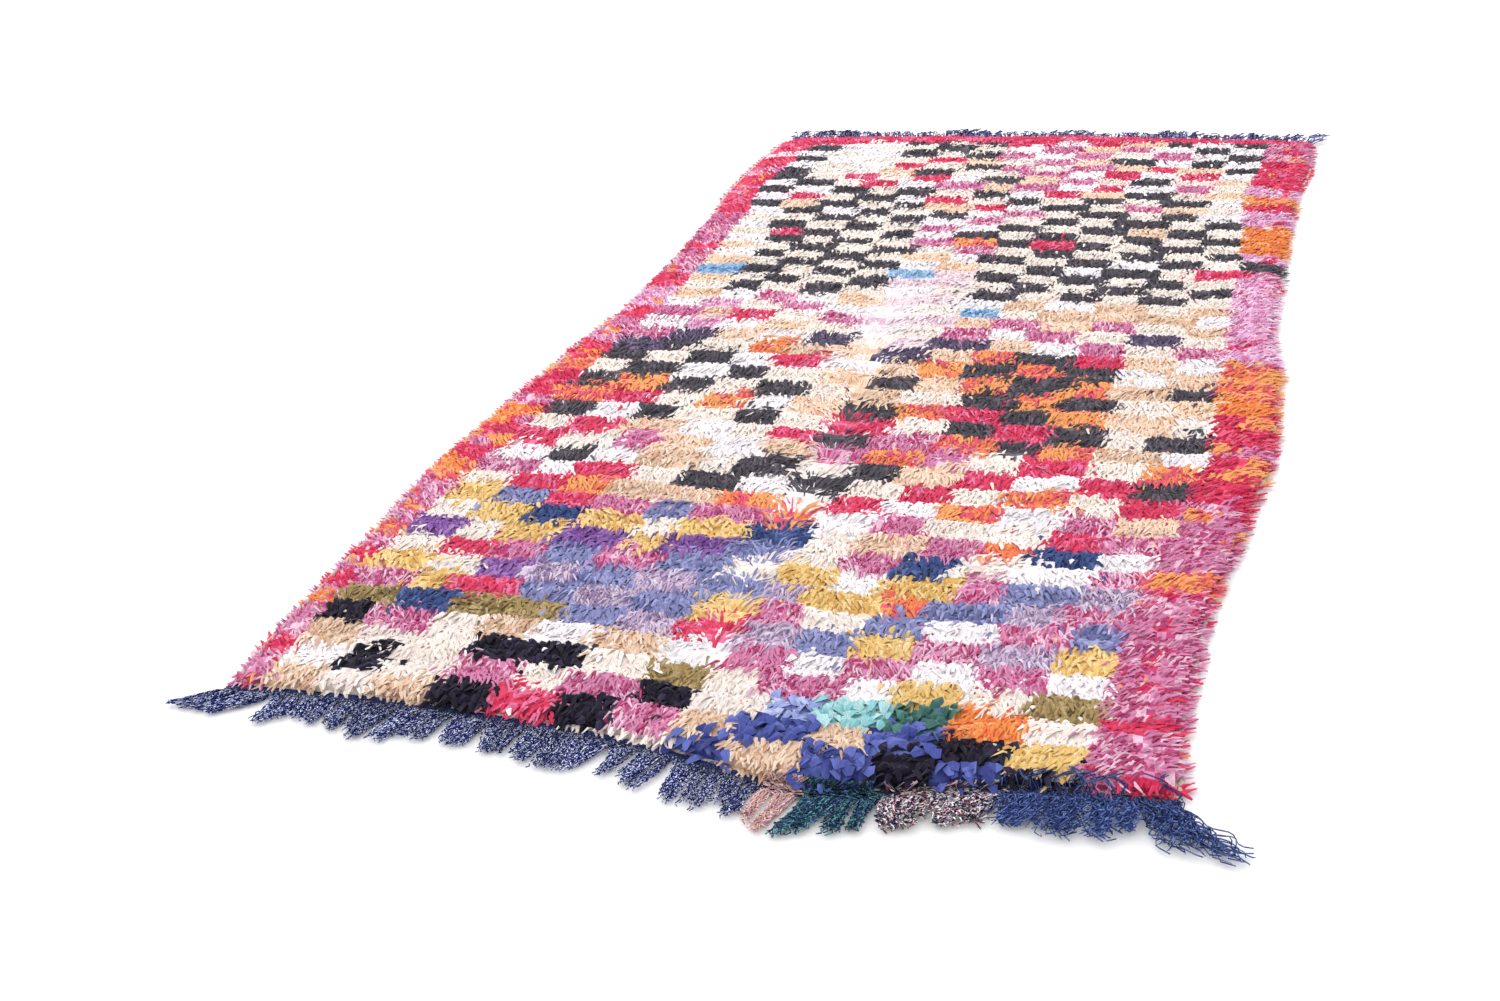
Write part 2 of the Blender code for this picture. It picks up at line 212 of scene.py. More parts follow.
# What the bricks of each stretch are made of: the rags of every second brick, as on a chess board,
# and those of the bricks between, each with its share. Turn moves the checks one brick along.
STRETCHES = [
    dict(far=1.30, near=0.99, left=-0.70, right=-0.47, turn=1,
         checks=dict(charcoal=0.75, white=0.25), rest=dict(white=0.4, pale=0.3, peach=0.3)),
    dict(far=1.30, near=0.99, left=-0.47, right=-0.29, turn=0,
         checks=dict(white=0.6, pale=0.4), rest=dict(pale=0.5, cream=0.3, white=0.2)),
    dict(far=1.30, near=0.99, left=-0.29, right=-0.04, turn=1,
         checks=dict(charcoal=0.9, raspberry=0.1), rest=dict(cream=0.6, pale=0.3, peach=0.1)),
    dict(far=1.30, near=0.97, left=-0.04, right=0.13, turn=0,
         checks=dict(white=0.48, charcoal=0.12, rose=0.2, raspberry=0.2),
         rest=dict(pale=0.5, white=0.3, peach=0.2)),
    dict(far=1.30, near=0.97, left=0.13, right=0.47, turn=0,
         checks=dict(charcoal=0.44, rose=0.32, raspberry=0.24),
         rest=dict(peach=0.40, white=0.40, cream=0.2)),
    dict(far=1.30, near=0.97, left=0.47, right=0.70, turn=0,
         checks=dict(charcoal=1.0), rest=dict(white=1.0)),
    dict(far=0.99, near=0.66, left=-0.70, right=-0.20, turn=0,
         checks=dict(charcoal=0.66, raspberry=0.2, rose=0.14),
         rest=dict(cream=0.4, peach=0.3, white=0.3)),
    dict(far=0.99, near=0.66, left=-0.20, right=0.13, turn=0,
         checks=dict(charcoal=0.40, raspberry=0.25, rose=0.25, peach=0.1),
         rest=dict(white=0.4, pale=0.25, peach=0.25, cream=0.1)),
    dict(far=0.99, near=0.66, left=0.13, right=0.46, turn=0,
         checks=dict(charcoal=0.48, raspberry=0.26, rose=0.26),
         rest=dict(cream=0.35, white=0.35, peach=0.3)),
    dict(far=0.99, near=0.70, left=0.46, right=0.70, turn=0,
         checks=dict(peach=0.6, cream=0.4), rest=dict(white=0.6, cream=0.4)),
    dict(far=0.70, near=0.18, left=-0.70, right=-0.47, turn=0,
         checks=dict(cream=0.6, peach=0.4), rest=dict(white=0.8, pale=0.2)),
    dict(far=0.66, near=0.18, left=-0.47, right=-0.14, turn=0,
         checks=dict(charcoal=1.0), rest=dict(cream=1.0)),
    dict(far=0.66, near=0.33, left=-0.14, right=0.06, turn=0,
         checks=dict(charcoal=0.35, rose=0.35, peach=0.3), rest=dict(white=0.6, pale=0.4)),
    dict(far=0.70, near=0.18, left=0.06, right=0.70, turn=0,
         checks=dict(charcoal=0.97, raspberry=0.03), rest=dict(cream=0.86, white=0.07, peach=0.07)),
    dict(far=0.33, near=-0.06, left=-0.14, right=0.06, turn=0,
         checks=dict(blush=0.8, white=0.2), rest=dict(blush=0.7, pale=0.3)),
    dict(far=0.18, near=-0.07, left=-0.70, right=-0.14, turn=0,
         checks=dict(peach=0.45, rose=0.35, orchid=0.2), rest=dict(cream=0.5, peach=0.2, white=0.3)),
    dict(far=0.18, near=-0.07, left=0.06, right=0.70, turn=0,
         checks=dict(rose=0.45, peach=0.3, tan=0.25), rest=dict(cream=0.4, white=0.35, peach=0.25)),
    dict(far=-0.07, near=-0.45, left=-0.70, right=-0.16, turn=0,
         checks=dict(charcoal=0.66, ember=0.26, raspberry=0.08),
         rest=dict(cream=0.50, ember=0.14, white=0.26, tan=0.10)),
    dict(far=-0.07, near=-0.45, left=-0.16, right=0.12, turn=0,
         checks=dict(cream=0.35, peach=0.35, ember=0.15, tan=0.15),
         rest=dict(cream=0.5, white=0.35, peach=0.15)),
    dict(far=-0.07, near=-0.46, left=0.12, right=0.38, turn=0,
         checks=dict(charcoal=1.0), rest=dict(ember=0.7, raspberry=0.3)),
    dict(far=-0.07, near=-0.46, left=0.38, right=0.70, turn=0,
         checks=dict(peach=0.55, tan=0.45), rest=dict(cream=0.45, white=0.4, pale=0.15)),
    dict(far=-0.45, near=-0.73, left=-0.70, right=0.70, turn=0,
         checks=dict(white=0.28, rose=0.26, raspberry=0.16, ember=0.12, charcoal=0.08, tan=0.10),
         rest=dict(cream=0.46, white=0.30, peach=0.16, pale=0.08)),
    dict(far=-0.73, near=-0.88, left=0.02, right=0.70, turn=0,
         checks=dict(rose=0.46, pale=0.28, raspberry=0.14, ember=0.12),
         rest=dict(cream=0.45, white=0.45, tan=0.1)),
    dict(far=-0.73, near=-1.12, left=-0.70, right=0.02, turn=0,
         checks=dict(yellow=0.34, denim=0.32, lilac=0.10, raspberry=0.12, purple=0.12),
         rest=dict(rose=0.36, lilac=0.28, pale=0.24, yellow=0.12)),
    dict(far=-0.88, near=-1.12, left=0.02, right=0.70, turn=0,
         checks=dict(yellow=0.64, rose=0.16, denim=0.12, ember=0.08),
         rest=dict(rose=0.32, lilac=0.28, pale=0.22, white=0.18)),
    dict(far=-1.12, near=-1.27, left=0.02, right=0.70, turn=0,
         checks=dict(rose=0.42, yellow=0.36, pale=0.22),
         rest=dict(white=0.5, pale=0.25, rose=0.10, cream=0.15)),
    dict(far=-1.12, near=-1.45, left=-0.70, right=0.02, turn=0,
         checks=dict(tan=0.45, cream=0.25, rose=0.22, raspberry=0.08),
         rest=dict(white=0.4, pale=0.35, cream=0.25)),
    dict(far=-1.27, near=-1.45, left=0.02, right=0.46, turn=0,
         checks=dict(royal=1.0), rest=dict(tan=1.0)),
    dict(far=-1.27, near=-1.45, left=0.46, right=0.70, turn=0,
         checks=dict(yellow=0.6, cream=0.4), rest=dict(plum=0.5, black=0.5)),
]

# The bricks that catch the eye, each by a point inside it
STANDOUTS = {
    "sky": [(-0.50, 0.30), (-0.10, 0.32), (0.085, 0.105)],
    "navy": [(0.0, -0.81), (0.20, -0.86), (0.41, -0.83), (-0.35, -0.79), (-0.47, -1.12)],
    "raspberry": [(-0.01, 0.735), (-0.42, 0.55), (0.18, 0.495), (-0.35, 0.03),
                  (-0.41, -0.645), (0.0, -0.42), (0.42, -0.775), (-0.37, -1.03), (-0.20, -1.325)],
    "ember": [(0.04, 0.50), (0.06, -0.15), (0.09, -0.51), (-0.34, -0.71), (0.30, -0.84),
              (0.20, -0.97), (0.0, -0.75)],
    "plum": [(-0.42, -0.05), (-0.53, -0.11), (0.44, -0.02), (0.11, -0.06), (-0.13, -0.045),
             (-0.03, -0.085)],
    "charcoal": [(-0.55, 0.91), (0.01, -0.245), (0.53, -0.25), (0.0, -0.36), (0.53, -0.42),
                 (0.01, -0.48), (0.53, -0.565), (-0.13, -0.59)],
    "purple": [(-0.35, -0.86), (-0.16, -0.875)],
    "yellow": [(-0.01, -1.03), (0.477, -1.305), (0.18, -1.09)],
    "denim": [(0.20, -1.02), (0.48, -1.03), (-0.44, -0.735)],
    "olive": [(-0.57, -1.115), (-0.40, -1.115), (-0.28, -1.115), (-0.03, -1.19), (0.47, -1.215)],
    "black": [(-0.56, -1.16), (-0.29, -1.215), (-0.18, -1.205), (-0.48, -1.25), (-0.03, -1.26),
              (-0.31, -1.32), (-0.13, -1.32), (0.391, -1.31), (0.305, -1.365), (0.477, -1.365)],
    "royal": [(0.133, -1.31), (0.305, -1.31), (0.047, -1.365), (0.219, -1.365), (0.391, -1.365)],
    "tan": [(0.219, -1.31), (0.133, -1.365), (-0.57, -1.31), (-0.40, -1.31)],
    "rose": [(0.0, -1.33)],
    "orange": [(0.391, -1.255)],
    "periwinkle": [(0.133, -1.255)],
    "aqua": [(0.219, -1.255)],
    "green": [(0.305, -1.255)],
}

# The two borders, each rag by how far towards the near end it reaches. Both are fiery in the
# middle of the rug, where orange patches turn up in them.
FIERY_NEAR = -0.72
FIERY_FAR = 0.02
LEFT_RAGS = [
    (1.165, "crimson"), (1.115, "blush"), (1.03, "crimson"), (0.98, "rose"), (0.88, "crimson"),
    (0.85, "rose"), (0.67, "raspberry"), (0.46, "rose"), (0.42, "raspberry"), (0.28, "rose"),
    (0.20, "raspberry"), (0.08, "orchid"), (0.03, "raspberry"), (-0.05, "rose"),
    (-0.08, "rose"), (-0.17, "crimson"), (-0.24, "ember"), (-0.35, "crimson"), (-0.39, "rose"),
    (-0.42, "crimson"), (-0.45, "ember"), (-0.52, "raspberry"), (-0.56, "ember"),
    (-0.635, "crimson"), (-0.70, "ember"), (-0.86, "rose"), (-0.90, "ember"),
    (-0.94, "rose"), (-0.98, "crimson"), (-1.02, "rose"), (-1.06, "crimson"), (-1.085, "rose"),
    (-1.11, "orange"), (-1.21, "rose"), (-1.24, "crimson"), (-1.32, "rose"), (-1.50, "crimson"),
]
RIGHT_RAGS = [
    (1.24, "raspberry"), (1.10, "rose"), (1.05, "crimson"), (0.98, "raspberry"), (0.91, "crimson"),
    (0.845, "orchid"), (0.79, "ember"), (0.74, "crimson"), (0.655, "orchid"), (0.48, "orange"),
    (0.435, "orchid"), (0.375, "charcoal"), (0.34, "rose"), (-0.075, "orchid"), (-0.22, "ember"),
    (-0.29, "orange"), (-0.41, "crimson"), (-0.44, "rose"), (-0.60, "crimson"), (-0.64, "rose"),
    (-0.82, "rose"), (-0.88, "ember"), (-1.19, "rose"), (-1.22, "crimson"),
    (-1.30, "rose"), (-1.50, "crimson"),
]


def foot(x, y):
    """How far points lie in from the pile's left foot and from its right one."""
    return x - follow(SIDES, "y", "left", y), follow(SIDES, "y", "right", y) - x


def borders(y):
    """How wide the left border and the right one are there."""
    return follow(SIDES, "y", "left_border", y), follow(SIDES, "y", "right_border", y)


def find_brick(x, y):
    """The course and column of the brick at each point; -1 and 13 are the two borders."""
    level = y + COURSE_WANDER * (soft_noise(x, y, 0.24, 6.0) - 0.5)
    level = level + COURSE_RAGGEDNESS * (soft_noise(x, y, 0.08, 7.0) - 0.5)
    course = np.floor(np.interp(level, COURSE_YS, COURSE_COUNTS))
    left, right = foot(x, y)
    left_border, right_border = borders(y)
    from_left = left - left_border - BORDER_WANDER * (chance(course, 3.0) - 0.5)
    from_right = right - right_border - BORDER_WANDER * (chance(course, 4.0) - 0.5)
    place = from_left / (from_left + from_right) * BRICK_COLUMNS
    column = np.floor(place)
    low_joint = column + JOINT_WANDER * (chance(course, column, 11.0) - 0.5)
    high_joint = column + 1 + JOINT_WANDER * (chance(course, column + 1, 11.0) - 0.5)
    column = column - (place < low_joint) + (place > high_joint)
    column = np.clip(column, 0, BRICK_COLUMNS - 1)
    column = np.where(from_left < 0, -1, np.where(from_right < 0, BRICK_COLUMNS, column))
    return course.astype(int), column.astype(int)


def pick_rag(shares, draw):
    """The rag that a draw from 0 to 1 falls on."""
    names = list(shares)
    ends = np.cumsum([shares[name] for name in names])
    return RAG_INDEX[names[min(int(np.searchsorted(ends, draw * ends[-1])), len(names) - 1)]]


def lay_bricks():
    """The rag of each brick of the field, by course and column."""
    courses = int(COURSE_COUNTS[0]) + 1
    laid = np.zeros((courses, BRICK_COLUMNS), int)
    set_down = {}
    for name, points in STANDOUTS.items():
        for x, y in points:
            course, column = find_brick(np.array([x]), np.array([y + PILE_DRIFT]))
            set_down[int(course[0]), int(np.clip(column[0], 0, BRICK_COLUMNS - 1))] = RAG_INDEX[name]
    for course in range(courses):
        y = float(np.interp(course + 0.5, COURSE_COUNTS[::-1], COURSE_YS[::-1]))
        left = float(follow(SIDES, "y", "left", y) + borders(y)[0])
        right = float(follow(SIDES, "y", "right", y) - borders(y)[1])
        for column in range(BRICK_COLUMNS):
            x = left + (right - left) * (column + 0.5) / BRICK_COLUMNS
            here = next((s for s in STRETCHES if s["near"] <= y < s["far"] and
                         s["left"] <= x < s["right"]), STRETCHES[-1])
            check = (course + column + here["turn"]) % 2 == 0
            shares = here["checks"] if check else here["rest"]
            beside = {laid[course, column - 1] if column else -1,
                      laid[course - 1, column] if course else -1,
                      set_down.get((course, column + 1)), set_down.get((course + 1, column))}
            for again in range(5):
                rag = pick_rag(shares, float(chance(course, column, 21.0 + again)))
                if rag not in beside or len(shares) == 1:
                    break
            laid[course, column] = set_down.get((course, column), rag)
    return laid


BRICKS = lay_bricks()


def rag_at(x, y):
    """The rag that is knotted in at each point of the ground."""
    course, column = find_brick(x, y)
    rag = BRICKS[np.clip(course, 0, len(BRICKS) - 1), np.clip(column, 0, BRICK_COLUMNS - 1)]
    level = y + BORDER_WANDER * (soft_noise(x, y, 0.05, 8.0) - 0.5)
    in_left, in_right = column < 0, column >= BRICK_COLUMNS
    for rows, side in ((LEFT_RAGS, in_left), (RIGHT_RAGS, in_right)):
        ends = np.array([-row[0] for row in rows])
        names = np.array([RAG_INDEX[row[1]] for row in rows])
        at = np.clip(np.searchsorted(ends, -level), 0, len(rows) - 1)
        rag = np.where(side, names[at], rag)
    patch = soft_noise(x, y, 0.046, 15.0)
    fiery = (y < FIERY_FAR) & (y > FIERY_NEAR)
    rag = np.where(in_left & fiery & (patch > 0.68), RAG_INDEX["orange"], rag)
    rag = np.where(in_left & fiery & (patch < 0.20), RAG_INDEX["rose"], rag)
    rag = np.where(in_right & fiery & (patch > 0.70), RAG_INDEX["ember"], rag)
    rag = np.where(in_right & fiery & (patch < 0.34), RAG_INDEX["crimson"], rag)
    spot = soft_noise(x, y, 0.026, 16.0)
    rag = np.where((in_left | in_right) & ~fiery & (spot > 0.86), RAG_INDEX["crimson"], rag)
    rag = np.where((in_left | in_right) & ~fiery & (spot < 0.12), RAG_INDEX["ember"], rag)
    rag = np.where(in_right & (y < -1.30) & (x < 0.565), RAG_INDEX["rose"], rag)
    band = y > follow(FAR_BAND, "x", "y", x) + COURSE_RAGGEDNESS * (soft_noise(x, y, 0.03, 9.0) - 0.5)
    return np.where(band, RAG_INDEX["raspberry"], rag)


SHADE_COLOURS = np.zeros((len(RAGS), 3, 3))
SHADE_ENDS = np.ones((len(RAGS), 3))
for k, name in enumerate(RAG_NAMES):
    ends = np.cumsum([share for _, share in RAGS[name]])
    for j in range(3):
        shade = RAGS[name][min(j, len(RAGS[name]) - 1)]
        SHADE_COLOURS[k, j] = linear(shade[0])
        SHADE_ENDS[k, j] = ends[min(j, len(ends) - 1)]


def shade_of(rag, draw):
    """One of the rag's own shades for each draw from 0 to 1."""
    pick = (draw[:, None] > SHADE_ENDS[rag]).sum(1)
    return SHADE_COLOURS[rag, np.clip(pick, 0, 2)]


class Value:
    """A number in a material, so that shader maths reads as plain sums."""

    def __init__(self, finish, socket):
        self.finish = finish
        self.socket = socket

    def join(self, operation, first, second):
        made = self.finish.add("ShaderNodeMath", {"operation": operation}, {0: first, 1: second})
        return Value(self.finish, made.outputs[0])

    def __add__(self, other):
        return self.join("ADD", self, other)

    __radd__ = __add__

    def __sub__(self, other):
        return self.join("SUBTRACT", self, other)

    def __rsub__(self, other):
        return self.join("SUBTRACT", other, self)

    def __mul__(self, other):
        return self.join("MULTIPLY", self, other)

    __rmul__ = __mul__

    def __truediv__(self, other):
        return self.join("DIVIDE", self, other)

    def __rtruediv__(self, other):
        return self.join("DIVIDE", other, self)

    def over(self, other):
        """One where this number is greater, and nought elsewhere."""
        return self.join("GREATER_THAN", self, other)

    def fraction(self):
        return self.join("FRACT", self, 0.0)


class Finish:
    """One material on a Principled shader, with its constants on the shader's own sockets."""

    def __init__(self, name, roughness, sheen):
        self.material = bpy.data.materials.new(name)
        self.material.use_nodes = True
        self.tree = self.material.node_tree
        self.shader = next(n for n in self.tree.nodes if n.type == "BSDF_PRINCIPLED")
        self.shader.inputs["Roughness"].default_value = roughness
        self.shader.inputs["Specular IOR Level"].default_value = 0.15
        self.shader.inputs["Sheen Weight"].default_value = sheen
        self.shader.inputs["Sheen Roughness"].default_value = 0.5

    def add(self, kind, settings=None, inputs=None):
        """A node of that kind: its settings first, then the values or links of its sockets."""
        made = self.tree.nodes.new(kind)
        for name, value in (settings or {}).items():
            if name == "stops":
                while len(made.color_ramp.elements) < len(value):
                    made.color_ramp.elements.new(1.0)
                for element, (place, colour) in zip(made.color_ramp.elements, value):
                    element.position = place
                    element.color = (*linear(colour), 1.0)
            elif name == "interpolation":
                made.color_ramp.interpolation = value
            else:
                setattr(made, name, value)
        for name, value in (inputs or {}).items():
            source = value.socket if isinstance(value, Value) else value
            if isinstance(source, bpy.types.NodeSocket):
                self.tree.links.new(source, made.inputs[name])
            else:
                made.inputs[name].default_value = source
        return made

    def set(self, name, source):
        socket = source.socket if isinstance(source, Value) else source
        self.tree.links.new(socket, self.shader.inputs[name])

    def place(self):
        """The places across and along the rug, in metres, and the whole place as a vector."""
        vector = self.add("ShaderNodeTexCoord").outputs["Object"]
        parts = self.add("ShaderNodeSeparateXYZ", inputs={0: vector})
        return Value(self, parts.outputs["X"]), Value(self, parts.outputs["Y"]), vector

    def noise(self, vector, scale, detail=2.0):
        made = self.add("ShaderNodeTexNoise", inputs={
            "Vector": vector, "Scale": scale, "Detail": detail, "Roughness": 0.55})
        return Value(self, made.outputs["Fac"])

    def mix(self, factor, first, second, blend="MIX"):
        made = self.add("ShaderNodeMix", {"data_type": "RGBA", "blend_type": blend},
                        {"Factor": factor, 6: first, 7: second})
        return made.outputs[2]

    def bump(self, height, strength, distance):
        made = self.add("ShaderNodeBump", inputs={
            "Strength": strength, "Distance": distance, "Height": height})
        self.set("Normal", made.outputs["Normal"])


def add_piece(name, mesh, finish, nodes, smooth=True):
    """A mesh as a piece of the rug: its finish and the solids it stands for."""
    piece = bpy.data.objects.new(name, mesh)
    bpy.context.scene.collection.objects.link(piece)
    mesh.materials.append(finish.material)
    mesh.polygons.foreach_set("use_smooth", [smooth] * len(mesh.polygons))
    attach(piece, "root")
    if nodes:
        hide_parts(*nodes)
    return piece


ground_finish = Finish("woven_ground", 0.92, 0.15)
knot = ground_finish.add("ShaderNodeAttribute", {"attribute_name": "knot"}).outputs["Color"]
along_x, along_y, spot = ground_finish.place()
row = (along_y / KNOT_PITCH_Y).fraction()
turn = (along_x / KNOT_PITCH_X).fraction()
pip = row.over(KNOT_GAP_Y) * turn.over(KNOT_GAP_X)
weft = ground_finish.noise(spot, 900.0)
wool = ground_finish.mix(weft, *[(*linear(shade), 1) for shade in WOOL_SHADES])
ground_finish.set("Base Color", ground_finish.mix(pip * 0.9, wool, knot))
ground_finish.bump(pip * 0.5 + weft * 0.5 + row * 0.4, 0.6, 0.0008)

bm = bmesh.new()
bmesh.ops.create_grid(bm, x_segments=GROUND_COLUMNS, y_segments=GROUND_ROWS, size=1.0)
for vert in bm.verts:
    y_mean = NEAR_Y + (vert.co.y + 1) / 2 * (FAR_Y - NEAR_Y)
    left = float(follow(SIDES, "y", "left", y_mean)) + GROUND_INSET
    right = float(follow(SIDES, "y", "right", y_mean)) - GROUND_INSET
    x = left + (right - left) * (vert.co.x + 1) / 2
    y = near_edge(x) + (vert.co.y + 1) / 2 * (far_edge(x) - near_edge(x))
    vert.co = (x, y, GROUND_THICKNESS)
bmesh.ops.solidify(bm, geom=bm.faces[:], thickness=GROUND_THICKNESS)
bmesh.ops.recalc_face_normals(bm, faces=bm.faces[:])
ground_mesh = bpy.data.meshes.new("ground")
bm.to_mesh(ground_mesh)
bm.free()
low_z = min(v.co.z for v in ground_mesh.vertices)
ground_mesh.transform(Matrix.Translation((0, 0, -low_z)))


def paint_faces(mesh, name, shift):
    """Each face in the rag that lies over it, as a colour at its corners."""
    centres = np.zeros(len(mesh.polygons) * 3)
    mesh.polygons.foreach_get("center", centres)
    centres = centres.reshape(-1, 3)
    rags = rag_at(centres[:, 0], centres[:, 1] + shift)
    shades = shade_of(rags, chance(centres[:, 0] * 800, centres[:, 1] * 600, 6.0))
    sizes = np.zeros(len(mesh.polygons), int)
    mesh.polygons.foreach_get("loop_total", sizes)
    whole = np.repeat(np.concatenate([shades, np.ones((len(shades), 1))], 1), sizes, axis=0)
    mesh.attributes.new(name, "FLOAT_COLOR", "CORNER").data.foreach_set(
        "color", whole.reshape(-1).astype(np.float32))


paint_faces(ground_mesh, "knot", 0.0)
ground = add_piece("woven_ground", ground_mesh, ground_finish, ["rug"], smooth=False)


# The side cords.
# Each long side of the ground ends in a cord of several warps bound over with cream wool as the
# weaving goes up. They show as a thin grey line where the border pile parts, on the right above all.

CORD_HALF_WIDTH = 0.0045
CORD_HALF_HEIGHT = 0.0032
CORD_INSET = 0.004
CORD_STEPS = 260
CORD_SIDES = 8
WRAP_PITCH = 0.0024
WRAP_SHADES = [(150, 146, 148), (226, 218, 204)]
END_THICKNESS = 0.35


def wrapped_tube(name, steps, sides, centre, half_width, half_height):
    """A closed cord along centre(share), from a grid wrapped round and sewn up."""
    bm = bmesh.new()
    bmesh.ops.create_grid(bm, x_segments=steps, y_segments=sides, size=1.0)
    for vert in bm.verts:
        share, angle = (vert.co.x + 1) / 2, math.pi * (vert.co.y + 1)
        here, ahead = centre(share), centre(min(1.0, share + 0.001))
        behind = centre(max(0.0, share - 0.001))
        run = Vector(ahead) - Vector(behind)
        run.normalize()
        side = Vector((run.y, -run.x, 0.0)).normalized()
        taper = min(1.0, min(share, 1 - share) * steps + END_THICKNESS)
        across = side * half_width * math.cos(angle) * taper
        up = Vector((0, 0, 1)) * half_height * math.sin(angle) * taper
        vert.co = Vector(here) + across + up
    bmesh.ops.remove_doubles(bm, verts=bm.verts[:], dist=1e-6)
    bmesh.ops.holes_fill(bm, edges=[e for e in bm.edges if e.is_boundary], sides=0)
    bmesh.ops.recalc_face_normals(bm, faces=bm.faces[:])
    mesh = bpy.data.meshes.new(name)
    bm.to_mesh(mesh)
    bm.free()
    return mesh


cord_finish = Finish("bound_cord", 0.9, 0.2)
along_x, along_y, spot = cord_finish.place()
wrap = (along_y / WRAP_PITCH).fraction()
grey_blotches = cord_finish.noise(spot, 60.0)
# The wrap is grey and cream in soft blotches
cord_finish.set("Base Color", cord_finish.mix(
    grey_blotches, *[(*linear(shade), 1) for shade in WRAP_SHADES]))
cord_finish.bump(wrap * (1 - wrap) * 4.0, 0.7, 0.0008)

for side_name, sign in (("left", -1), ("right", 1)):
    def cord_line(share, side_name=side_name, sign=sign):
        y = NEAR_Y + CORD_INSET + share * (FAR_Y - NEAR_Y - CORD_INSET)
        x = float(follow(SIDES, "y", side_name, y)) - sign * CORD_INSET
        return x, y, CORD_HALF_HEIGHT
    cord_mesh = wrapped_tube("cord_" + side_name, CORD_STEPS, CORD_SIDES, cord_line,
                             CORD_HALF_WIDTH, CORD_HALF_HEIGHT)
    add_piece("side_cord_" + side_name, cord_mesh, cord_finish, ["rug"])


# The rag pile.
# Strips of torn cotton, jersey and wool, two to four centimetres long, are knotted round the warps
# and left uncut, so each ends in a ragged tip. They lie towards the near end in overlapping
# courses, fan out over both borders and part along the crease where the rug was folded.

PILE_PITCH = 0.0062
KNOT_SCATTER = 0.8
KNOTS_HALF_WIDTH = 0.71
KNOTS_NEAR_Y = -1.41
PILE_ROOT_HEIGHT = 0.0030
PILE_PIECES = 5

# Where the crease runs
CREASE = [
    dict(y=-1.27, x=0.006),
    dict(y=-1.05, x=-0.014),
    dict(y=-0.90, x=-0.016),
    dict(y=-0.60, x=-0.016),
    dict(y=-0.25, x=-0.036),
    dict(y=0.05, x=-0.084),
    dict(y=0.28, x=-0.100),
]

# The cuts of rag: how wide and thick the strip is, how far it reaches over its neighbours, how many
# of the knots have one, how much it rolls over and how far it stands off the rest
CUTS = {
    "strip": dict(width=0.0054, depth=0.0017, reach=0.0240, keep=0.86, roll=0.45, lift=0.0010),
    "soft": dict(width=0.0072, depth=0.0013, reach=0.0250, keep=0.68, roll=0.35, lift=0.0007),
    "rolled": dict(width=0.0040, depth=0.0025, reach=0.0240, keep=1.0, roll=0.60, lift=0.0013),
    "broad": dict(width=0.0068, depth=0.0019, reach=0.0230, keep=0.76, roll=0.60, lift=0.0014),
    "crumple": dict(width=0.0110, depth=0.0028, reach=0.0220, keep=0.50, roll=0.85, lift=0.0022),
    "leaf": dict(width=0.0165, depth=0.0034, reach=0.0240, keep=0.32, roll=0.85, lift=0.0034),
}
USERS_OF_CUTS = {
    "soft": ["white", "pale", "blush"],
    "rolled": ["rose", "orchid", "lilac"],
    "broad": ["yellow", "denim", "navy", "purple"],
    "crumple": ["black"],
    "leaf": ["royal", "periwinkle", "aqua", "green"],
}
CUT_OF_RAG = {name: cut for cut, names in USERS_OF_CUTS.items() for name in names}


def cut_values(rag, wanted):
    """One number of each rag's cut."""
    table = np.array([CUTS[CUT_OF_RAG.get(name, "strip")][wanted] for name in RAG_NAMES])
    return table[rag]


def join_many(name, points, pattern, colours, colour_name):
    """Many small closed shapes of one pattern, joined in a mesh with four numbers at each point."""
    count, per, _ = points.shape
    mesh = bpy.data.meshes.new(name)
    mesh.vertices.add(count * per)
    mesh.vertices.foreach_set("co", points.reshape(-1).astype(np.float32))
    corners = np.concatenate([np.array(face) for face in pattern])
    sizes = np.array([len(face) for face in pattern])
    step = np.arange(count)[:, None]
    loops = (corners[None, :] + per * step).reshape(-1)
    starts = np.concatenate([[0], np.cumsum(sizes)[:-1]])
    starts = (starts[None, :] + len(corners) * step).reshape(-1)
    mesh.loops.add(len(loops))
    mesh.loops.foreach_set("vertex_index", loops.astype(np.int32))
    mesh.polygons.add(len(starts))
    mesh.polygons.foreach_set("loop_start", starts.astype(np.int32))
    mesh.update(calc_edges=True)
    mesh.attributes.new(colour_name, "FLOAT_COLOR", "POINT").data.foreach_set(
        "color", colours.reshape(-1).astype(np.float32))
    return mesh


def give_each_a_cell(mesh, count, cell_corners):
    """A map in which every small shape has a square of its own."""
    across = math.ceil(math.sqrt(count))
    number = np.arange(count)
    low = np.stack([number % across, number // across], 1)[:, None, :]
    places = (low + np.asarray(cell_corners)[None, :, :]) / across
    layer = mesh.uv_layers.new(name="OFBake")
    layer.data.foreach_set("uv", places.reshape(-1).astype(np.float32))


# A rag is folded along its middle: two corners at its root, three at its crest and two at its
# ragged tip. Its back and its front each lie flat in a cell of the map.
RAG_FACES = [(0, 1, 3, 2), (2, 3, 6, 5), (0, 4, 1), (0, 2, 4), (1, 4, 3), (4, 5, 6), (2, 5, 4),
             (3, 4, 6)]
RAG_BACK = {0: (0.04, 0.04), 1: (0.46, 0.04), 2: (0.04, 0.50), 3: (0.46, 0.50),
            5: (0.04, 0.96), 6: (0.46, 0.96)}
RAG_FRONT = {0: (0.54, 0.04), 1: (0.96, 0.04), 2: (0.54, 0.50), 3: (0.96, 0.50), 4: (0.75, 0.50),
             5: (0.54, 0.96), 6: (0.96, 0.96)}
RAG_CELL = [(RAG_BACK if k < 2 else RAG_FRONT)[corner]
            for k, face in enumerate(RAG_FACES) for corner in face]


